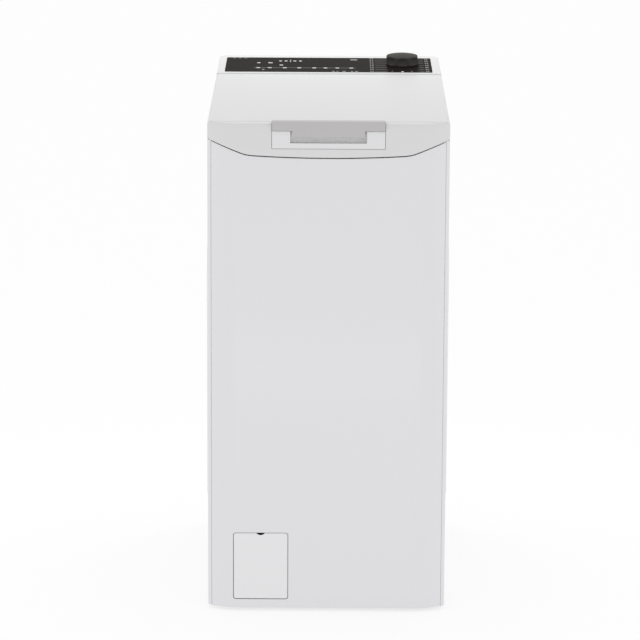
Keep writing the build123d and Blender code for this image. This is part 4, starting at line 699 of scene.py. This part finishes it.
# Programme knob: a dark moulded grip with eight wide finger hollows under a broad domed cap, on a
# thin spindle that drops through the fascia to the switch.
KNOB_X, KNOB_Y, GRIPS, GRIP_POWER, KNOB_STEPS = 0.132, 0.221, 8, 0.75, 160
knob_black = finish_of("knob_black", SKIN, (0.052, 0.048, 0.044), (0.10, 0.0002), specular=0.02,
                       tone_change=0.08, roughness=0.42, roughness_change=0.08, grain_scale=1500.0,
                       cloud_scale=30.0)
knob_rows = np.array((  # height above the deck, radius, depth of the finger hollows (mm)
    (-18.0, 0.0, 0), (-18.0, 2.6, 0), (-17.4, 3.0, 0), (0.8, 3.0, 0), (0.8, 29.0, 0), (1.0, 30.0, 0.2),
    (1.8, 30.6, 0.8), (3.4, 30.8, 2.4), (6.0, 30.8, 4.0), (9.0, 30.6, 4.4), (11.6, 30.4, 4.0),
    (13.4, 30.1, 3.0), (14.6, 29.6, 1.8), (15.4, 28.8, 0.9), (16.0, 27.4, 0.3), (16.6, 25.0, 0),
    (17.4, 20.0, 0), (18.1, 14.0, 0), (18.6, 8.0, 0), (18.8, 3.5, 0), (18.85, 0.0, 0))) * 0.001
theta = np.linspace(0, 2 * math.pi, KNOB_STEPS, endpoint=False)
hollow = np.abs(np.cos(GRIPS / 2 * theta)) ** GRIP_POWER
radius = knob_rows[:, 1:2] - knob_rows[:, 2:] * hollow
across, along = np.array((1.0, 0.0, 0.0)), np.cross(DECK_NORMAL, (1.0, 0.0, 0.0))
knob = (np.array((KNOB_X, KNOB_Y, float(deck_z(KNOB_Y)))) + knob_rows[:, :1, None] * DECK_NORMAL
        + (radius * np.cos(theta))[..., None] * across + (radius * np.sin(theta))[..., None] * along)
knob_piece = add_piece("programme_knob", knob.reshape(-1, 3),
                       grid_faces(*knob.shape[:2], closed_columns=True), "program_knob",
                       knob_black, replaces=["program_knob"])


def merge_points(piece, distance, turn_out=False):
    """Close a piece's poles and seams: points nearer than the distance become one."""
    shape = bmesh.new()
    shape.from_mesh(piece.data)
    bmesh.ops.remove_doubles(shape, verts=shape.verts, dist=distance)
    if turn_out:
        bmesh.ops.recalc_face_normals(shape, faces=shape.faces)
    shape.to_mesh(piece.data)
    shape.free()


merge_points(knob_piece, 1e-7)

# Service flap and what is behind it: a white moulded flap in the front panel's cut-out, the grey
# bay, and the filter cap and pump in black and grey polypropylene.
flap_white = finish_of("flap_white", SKIN, (0.735, 0.735, 0.745), (0.06, 0.0002), tone_change=0.015,
                       roughness=0.38, grain_scale=1400.0, cloud_scale=9.0)
grey_plastic = finish_of("grey_plastic", SKIN, (0.24, 0.25, 0.26), (0.15, 0.0003), tone_change=0.08,
                         roughness=0.52, roughness_change=0.10, grain_scale=1100.0, cloud_scale=18.0)
pump_grey = finish_of("pump_plastic", SKIN, (0.36, 0.37, 0.38), (0.15, 0.0003), tone_change=0.10,
                      roughness=0.50, roughness_change=0.10, grain_scale=900.0, cloud_scale=20.0)
pump_black = finish_of("pump_motor_black", SKIN, (0.030, 0.030, 0.032), (0.20, 0.0003),
                       tone_change=0.12, roughness=0.50, grain_scale=700.0, cloud_scale=25.0)
eased_copy("filter_flap", "service_flap", "filter_flap", flap_white, 0.0003)
dress(grey_plastic, "filter_bay", "door_lock_housing", "cable_gland", "encoder_body",
      "drain_outlet", "inlet_valve", "power_module")
dress(pump_grey, "pump_body", "filter_cap", "pump_impeller")
dress(pump_black, "pump_motor")

# Well under the lid: top frame, lid liner and detergent drawer, all in one off-white moulding
# plastic with a fine matt grain.
well_plastic = finish_of("well_plastic", SKIN, (0.66, 0.66, 0.66), (0.14, 0.0003), tone_change=0.02,
                         roughness=0.50, roughness_change=0.06, grain_scale=1300.0, cloud_scale=7.0)
eased_copy("lid_liner", "lid_liner_panel", "lid", well_plastic, 0.0008)
eased_copy("dispenser", "detergent_drawer", "dispenser", well_plastic, 0.0006)
dress(well_plastic, "top_frame")

# Lid lock bolt and drum latch: stamped zinc-plated steel.
lock_steel = finish_of("lock_steel", METAL, (0.60, 0.60, 0.59), (0.10, 0.0001), metallic=1.0,
                       tone_change=0.15, roughness=0.28, line_stretch=(900, 60, 900))
dress(lock_steel, "lock_bolt", "door_latch")

# Control board: green solder mask with mottled tone, under the fascia.
board_green = finish_of("circuit_board", SKIN, (0.022, 0.115, 0.055), (0.20, 0.0004), coat=0.3,
                        tone_change=0.35, roughness=0.32, grain_scale=260.0, cloud_scale=160.0)
dress(board_green, "control_board")

# Tub: shell and end walls of talc-filled polypropylene in pale grey, with counterweights of cast
# concrete with visible pores bolted on.
tub_plastic = finish_of("tub_plastic", SKIN, (0.48, 0.49, 0.50), (0.22, 0.0005), tone_change=0.06,
                        roughness=0.55, roughness_change=0.12, grain_scale=420.0, cloud_scale=9.0)
concrete = finish_of("concrete", SKIN, (0.30, 0.295, 0.285), (0.65, 0.0016), tone_change=0.35,
                     roughness=0.88, roughness_change=0.10, grain_scale=170.0, cloud_scale=55.0,
                     specular=0.3)
dress(tub_plastic, "tub_shell", "tub_flange_left", "tub_flange_right")
dress(concrete, "counterweight_upper", "counterweight_lower")

# Drum shell: stainless sheet with rows of drain holes, open at the top for the two doors.  Each cell
# of the sheet is a square with an eight-sided hole; hinge rings stand along both edges of the mouth.
DRUM_R, DRUM_HALF, DRUM_SHEET, DRUM_Z = 0.230, 0.130, 0.0009, 0.400
MOUTH_ANGLE, MOUTH_X, HOLE_R = math.radians(25.7), 0.0995, 0.0026
steel = finish_of("drum_steel", METAL, (0.62, 0.62, 0.615), (0.06, 0.0001), metallic=1.0,
                  tone_change=0.08, roughness=0.24, roughness_change=0.12, line_stretch=(20, 700, 700))


def pierced_sheet(u_edges, v_edges, hole):
    """Flat sheet cut into cells, each with an octagonal hole: points (u, v) and faces."""
    ring = np.array(((-1, -1), (0, -1), (1, -1), (1, 0), (1, 1), (0, 1), (-1, 1), (-1, 0))) * 0.5
    turn = np.arctan2(ring[:, 1], ring[:, 0])
    centre = np.stack(np.meshgrid((u_edges[1:] + u_edges[:-1]) / 2, (v_edges[1:] + v_edges[:-1]) / 2,
                                  indexing="ij"), -1).reshape(-1, 1, 2)
    size = np.array((u_edges[1] - u_edges[0], v_edges[1] - v_edges[0]))
    rim = hole * np.column_stack((np.cos(turn), np.sin(turn)))
    points = np.concatenate((centre + ring * size, centre + rim), 1)
    step = np.arange(8)
    cell = np.stack((step, (step + 1) % 8, 8 + (step + 1) % 8, 8 + step), -1)
    faces = (cell[None] + 16 * np.arange(len(centre))[:, None, None]).reshape(-1, 4)
    return points.reshape(-1, 2), faces


def wrap_round(points, radius):
    """Carry (x, angle) points round the drum axis, the angle measured from straight up."""
    x, turn = points[:, 0], points[:, 1]
    return np.column_stack((x, radius * np.sin(turn), DRUM_Z + radius * np.cos(turn)))


belt_x = np.linspace(-DRUM_HALF, DRUM_HALF, 19)
round_turn = np.linspace(MOUTH_ANGLE, 2 * math.pi - MOUTH_ANGLE, 86)
vertices, faces = [], []
for u_edges, v_edges in (
        (belt_x, round_turn),
        (np.linspace(-DRUM_HALF, -MOUTH_X, 3), np.linspace(-MOUTH_ANGLE, MOUTH_ANGLE, 15)),
        (np.linspace(MOUTH_X, DRUM_HALF, 3), np.linspace(-MOUTH_ANGLE, MOUTH_ANGLE, 15))):
    points, cells = pierced_sheet(u_edges, v_edges * DRUM_R, HOLE_R)
    points[:, 1] /= DRUM_R
    faces.append(cells + sum(len(part) for part in vertices))
    vertices.append(wrap_round(points, DRUM_R))
drum = add_piece("drum_perforated_shell", np.vstack(vertices), np.vstack(faces)[:, ::-1], "drum",
                 steel, replaces=["drum_shell"])
merge_points(drum, 1e-6, turn_out=True)
add_modifier(drum, "SOLIDIFY", thickness=DRUM_SHEET, offset=-1.0)
dress(steel, "drum_ends", "drum_door_front", "drum_door_rear", "door_hinge_pins")
rings = []
RING_R, RING_TURN, RING_HALF, RING_BORE, RING_OUT = 0.2335, math.radians(26.2), 0.008, 0.0016, 0.0028
for side in (-1, 1):
    place = (0, side * RING_R * math.sin(RING_TURN), DRUM_Z + RING_R * math.cos(RING_TURN))
    for x in (-0.075, 0.0, 0.075):
        ring = [(x - RING_HALF, RING_BORE), (x - RING_HALF, RING_OUT), (x + RING_HALF, RING_OUT),
                (x + RING_HALF, RING_BORE)]
        rings.append(lathe("ring", ring, place, 0, "drum", steel, steps=20))
join_pieces("drum_hinge_rings", rings)

# Lifters, hubs, shafts and pulley: grey polypropylene paddles, cast aluminium arms with a sandy
# skin, ground bearing steel.
lifter_plastic = finish_of("lifter_plastic", SKIN, (0.42, 0.44, 0.46), (0.12, 0.0003),
                           tone_change=0.04, roughness=0.42, grain_scale=800.0, cloud_scale=14.0)
cast_aluminium = finish_of("cast_aluminium", SKIN, (0.55, 0.55, 0.56), (0.45, 0.0006), metallic=0.9,
                           tone_change=0.12, roughness=0.50, roughness_change=0.20,
                           grain_scale=520.0, cloud_scale=26.0)
bearing_steel = finish_of("bearing_steel", METAL, (0.56, 0.56, 0.57), (0.05, 0.0001), metallic=1.0,
                          tone_change=0.06, roughness=0.18, line_stretch=(1400, 40, 40))
dress(lifter_plastic, "drum_lifters")
dress(cast_aluminium, "drum_hubs", "drum_pulley")
dress(bearing_steel, "tub_bearings")

# Motor, heater and dampers: laminated stator and plated rotor, dark sheathed heater, and dampers of
# nylon cylinders on plain steel rods.
motor_steel = finish_of("motor_steel", METAL, (0.34, 0.34, 0.35), (0.30, 0.0003), metallic=0.8,
                        tone_change=0.30, roughness=0.45, line_stretch=(1300, 30, 30))
rotor_steel = finish_of("rotor_steel", METAL, (0.50, 0.50, 0.50), (0.10, 0.0002), metallic=1.0,
                        tone_change=0.15, roughness=0.30, line_stretch=(1100, 40, 40))
heater_steel = finish_of("heater_steel", METAL, (0.20, 0.19, 0.18), (0.15, 0.0002), metallic=0.9,
                         tone_change=0.40, roughness=0.42, line_stretch=(30, 400, 400))
damper_plastic = finish_of("damper_plastic", SKIN, (0.055, 0.055, 0.060), (0.15, 0.0003),
                           tone_change=0.10, roughness=0.45, grain_scale=900.0, cloud_scale=22.0)
damper_steel = finish_of("damper_steel", METAL, (0.55, 0.55, 0.56), (0.05, 0.0001), metallic=1.0,
                         tone_change=0.08, roughness=0.22, line_stretch=(700, 700, 30))
dress(motor_steel, "motor_stator")
dress(rotor_steel, "motor_rotor")
dress(heater_steel, "heater_element")
dress(damper_plastic, "damper_cylinders")
dress(damper_steel, "damper_rods")

# Seals, belt and feet: black and grey rubber with a dusty, uneven bloom.
seal_rubber = finish_of("seal_rubber", SKIN, (0.028, 0.028, 0.029), (0.25, 0.0004), tone_change=0.35,
                        roughness=0.66, roughness_change=0.16, grain_scale=600.0, cloud_scale=30.0,
                        specular=0.35)
foot_rubber = finish_of("foot_rubber", SKIN, (0.050, 0.050, 0.052), (0.25, 0.0004), tone_change=0.25,
                        roughness=0.70, roughness_change=0.14, grain_scale=500.0, cloud_scale=25.0,
                        specular=0.35)
grey_rubber = finish_of("grey_rubber", SKIN, (0.17, 0.175, 0.18), (0.20, 0.0004), tone_change=0.20,
                        roughness=0.62, roughness_change=0.14, grain_scale=500.0, cloud_scale=20.0,
                        specular=0.35)
dress(seal_rubber, "shaft_seals", "drive_belt")
dress(foot_rubber, "rear_feet", "foot_front_left", "foot_front_right")

# Throat bellows: grey rubber gaiter in three folds between the tub's throat and the well's collar.
# Its section runs round the opening while the wall swings in and out as a cosine of the height.
bellows_low, bellows_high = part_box("throat_bellows")
BELLOWS_FOLDS, BELLOWS_SWING, BELLOWS_WALL = 3, 0.0019, 0.0014
BELLOWS_INSET, BELLOWS_CORNER = 0.003, 0.010
rise = np.linspace(0, 1, 37)
swing = BELLOWS_SWING * np.cos(2 * math.pi * BELLOWS_FOLDS * rise)
outline = rounded_outline((bellows_low.x + BELLOWS_INSET, bellows_low.y + BELLOWS_INSET),
                          (bellows_high.x - BELLOWS_INSET, bellows_high.y - BELLOWS_INSET),
                          BELLOWS_CORNER, 8)
core = BELLOWS_INSET + BELLOWS_CORNER
middle_x = np.clip(outline[:, 0], bellows_low.x + core, bellows_high.x - core)
middle_y = np.clip(outline[:, 1], bellows_low.y + core, bellows_high.y - core)
out = outline - np.column_stack((middle_x, middle_y))
out /= np.hypot(*out.T)[:, None]
gaiter = np.zeros((len(rise), len(outline), 3))
gaiter[..., :2] = outline + out * swing[:, None, None]
gaiter[..., 2] = (bellows_low.z + rise * (bellows_high.z - bellows_low.z))[:, None]
bellows = add_piece("throat_gaiter", gaiter.reshape(-1, 3),
                    grid_faces(*gaiter.shape[:2], closed_columns=True), None,
                    grey_rubber, replaces=["throat_bellows"])
add_modifier(bellows, "SOLIDIFY", thickness=BELLOWS_WALL, offset=0.0)
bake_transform(bellows)


def tube_along(path, radius, sides=10):
    """Tube round a path: a ring in the plane across the path at each point, turned as little as it can be."""
    path = np.asarray(path, float)
    forward = np.gradient(path, axis=0)
    forward /= np.linalg.norm(forward, axis=1)[:, None]
    first = np.cross(forward, np.where(np.abs(forward[:, 2:]) < 0.9, (0.0, 0.0, 1.0), (1.0, 0.0, 0.0)))
    first /= np.linalg.norm(first, axis=1)[:, None]
    second = np.cross(forward, first)
    angle = np.linspace(0, 2 * math.pi, sides, endpoint=False)
    radius = np.broadcast_to(radius, (len(path),))[:, None, None]
    ring = np.cos(angle)[None, :, None] * first[:, None] + np.sin(angle)[None, :, None] * second[:, None]
    points = path[:, None] + radius * ring
    faces = grid_faces(len(path), sides, closed_columns=True).tolist()
    count = len(path) * sides
    return points.reshape(-1, 3), faces + [tuple(range(sides))[::-1], tuple(range(count - sides, count))]


# Suspension springs: four helixes of plated spring wire between the tub's ears and the top frame.
spring_low, spring_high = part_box("suspension_springs")
WIRE_R, COIL_R, COILS, COIL_STEPS = 0.0014, 0.0094, 12, 22
spring_steel = finish_of("spring_steel", METAL, (0.45, 0.45, 0.46), (0.08, 0.0001), metallic=1.0,
                         tone_change=0.12, roughness=0.30, line_stretch=(300, 300, 300))
turns = np.linspace(0, 2 * math.pi * COILS, COILS * COIL_STEPS)
coil_low, coil_high = spring_low.z + WIRE_R, spring_high.z - WIRE_R
coil = np.column_stack((COIL_R * np.cos(turns), COIL_R * np.sin(turns),
                        np.linspace(coil_low, coil_high, len(turns))))
wire_points, wire_faces, axis_inset = [], [], 0.011
for x in (spring_low.x + axis_inset, spring_high.x - axis_inset):
    for y in (spring_low.y + axis_inset, spring_high.y - axis_inset):
        points, faces = tube_along(coil + (x, y, 0), WIRE_R, 8)
        wire_faces += [tuple(i + sum(map(len, wire_points)) for i in face) for face in faces]
        wire_points.append(points)
springs = add_piece("suspension_coils", np.vstack(wire_points), wire_faces, None,
                    spring_steel, replaces=["suspension_springs"])
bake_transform(springs)

# Sump hose: short ribbed rubber sleeve between the tub's spigot and the pump.
sump_low, sump_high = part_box("sump_hose")
SLEEVE_R, SLEEVE_BORE, SLEEVE_SWING, SLEEVE_RIBS = 0.0149, 0.0132, 0.0008, 4
sleeve_z = np.linspace(sump_low.z, sump_high.z, 8 * SLEEVE_RIBS + 1)
sleeve_r = SLEEVE_R + SLEEVE_SWING * np.cos(2 * math.pi * SLEEVE_RIBS * np.linspace(0, 1, len(sleeve_z)))
sleeve = list(zip(sleeve_z, sleeve_r)) + [(sump_high.z, SLEEVE_BORE), (sump_low.z, SLEEVE_BORE)]
hose_x, hose_y = (sump_low.x + sump_high.x) / 2, (sump_low.y + sump_high.y) / 2
sump = lathe("sump_sleeve", sleeve, (hose_x, hose_y, 0), 2, None, grey_rubber,
             replaces=["sump_hose"], steps=40)
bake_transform(sump)

# Drain hose: corrugated grey hose from the pump to the drain spigot, held along the base's left
# side; its ribs are a cosine of the distance along it, and its two cuffs are smooth.
drain_route = [(-0.149, -0.160, 0.072), (-0.149, -0.132, 0.072), (-0.181, -0.088, 0.078),
               (-0.1805, 0.060, 0.098), (-0.181, 0.140, 0.126), (-0.150, 0.205, 0.150),
               (-0.150, 0.2618, 0.150)]
route_curve = bpy.data.curves.new("drain_route", "CURVE")
route_curve.dimensions, route_curve.resolution_u = "3D", 40
spline = route_curve.splines.new("NURBS")
spline.points.add(len(drain_route) - 1)
for point, place in zip(spline.points, drain_route):
    point.co = (*place, 1.0)
spline.order_u, spline.use_endpoint_u = 3, True
route_object = bpy.data.objects.new("drain_route", route_curve)
bpy.context.scene.collection.objects.link(route_object)
route_mesh = bpy.data.meshes.new_from_object(route_object)
line = np.array([vertex.co for vertex in route_mesh.vertices])
bpy.data.objects.remove(route_object)
bpy.data.meshes.remove(route_mesh)
bpy.data.curves.remove(route_curve)
travel = np.concatenate(((0,), np.cumsum(np.linalg.norm(np.diff(line, axis=0), axis=1))))
RIB_PITCH, HOSE_R, RIB_SWING, CUFF, CUFF_FADE, CUFF_FILL = 0.0056, 0.0086, 0.0008, 0.028, 0.006, 0.6
even = np.linspace(0, travel[-1], int(travel[-1] / RIB_PITCH * 8))
line = np.column_stack([np.interp(even, travel, line[:, axis]) for axis in range(3)])
ribbed = smooth((even - CUFF) / CUFF_FADE) * smooth((travel[-1] - CUFF - even) / CUFF_FADE)
ribs = np.cos(2 * math.pi * even / RIB_PITCH)
hose_radius = HOSE_R + RIB_SWING * (ribbed * ribs + (1 - ribbed) * CUFF_FILL)
points, faces = tube_along(line, hose_radius, 24)
add_piece("drain_hose_ribbed", points, faces, "cabinet", grey_rubber,
          replaces=["drain_hose"], smooth_angle=60)
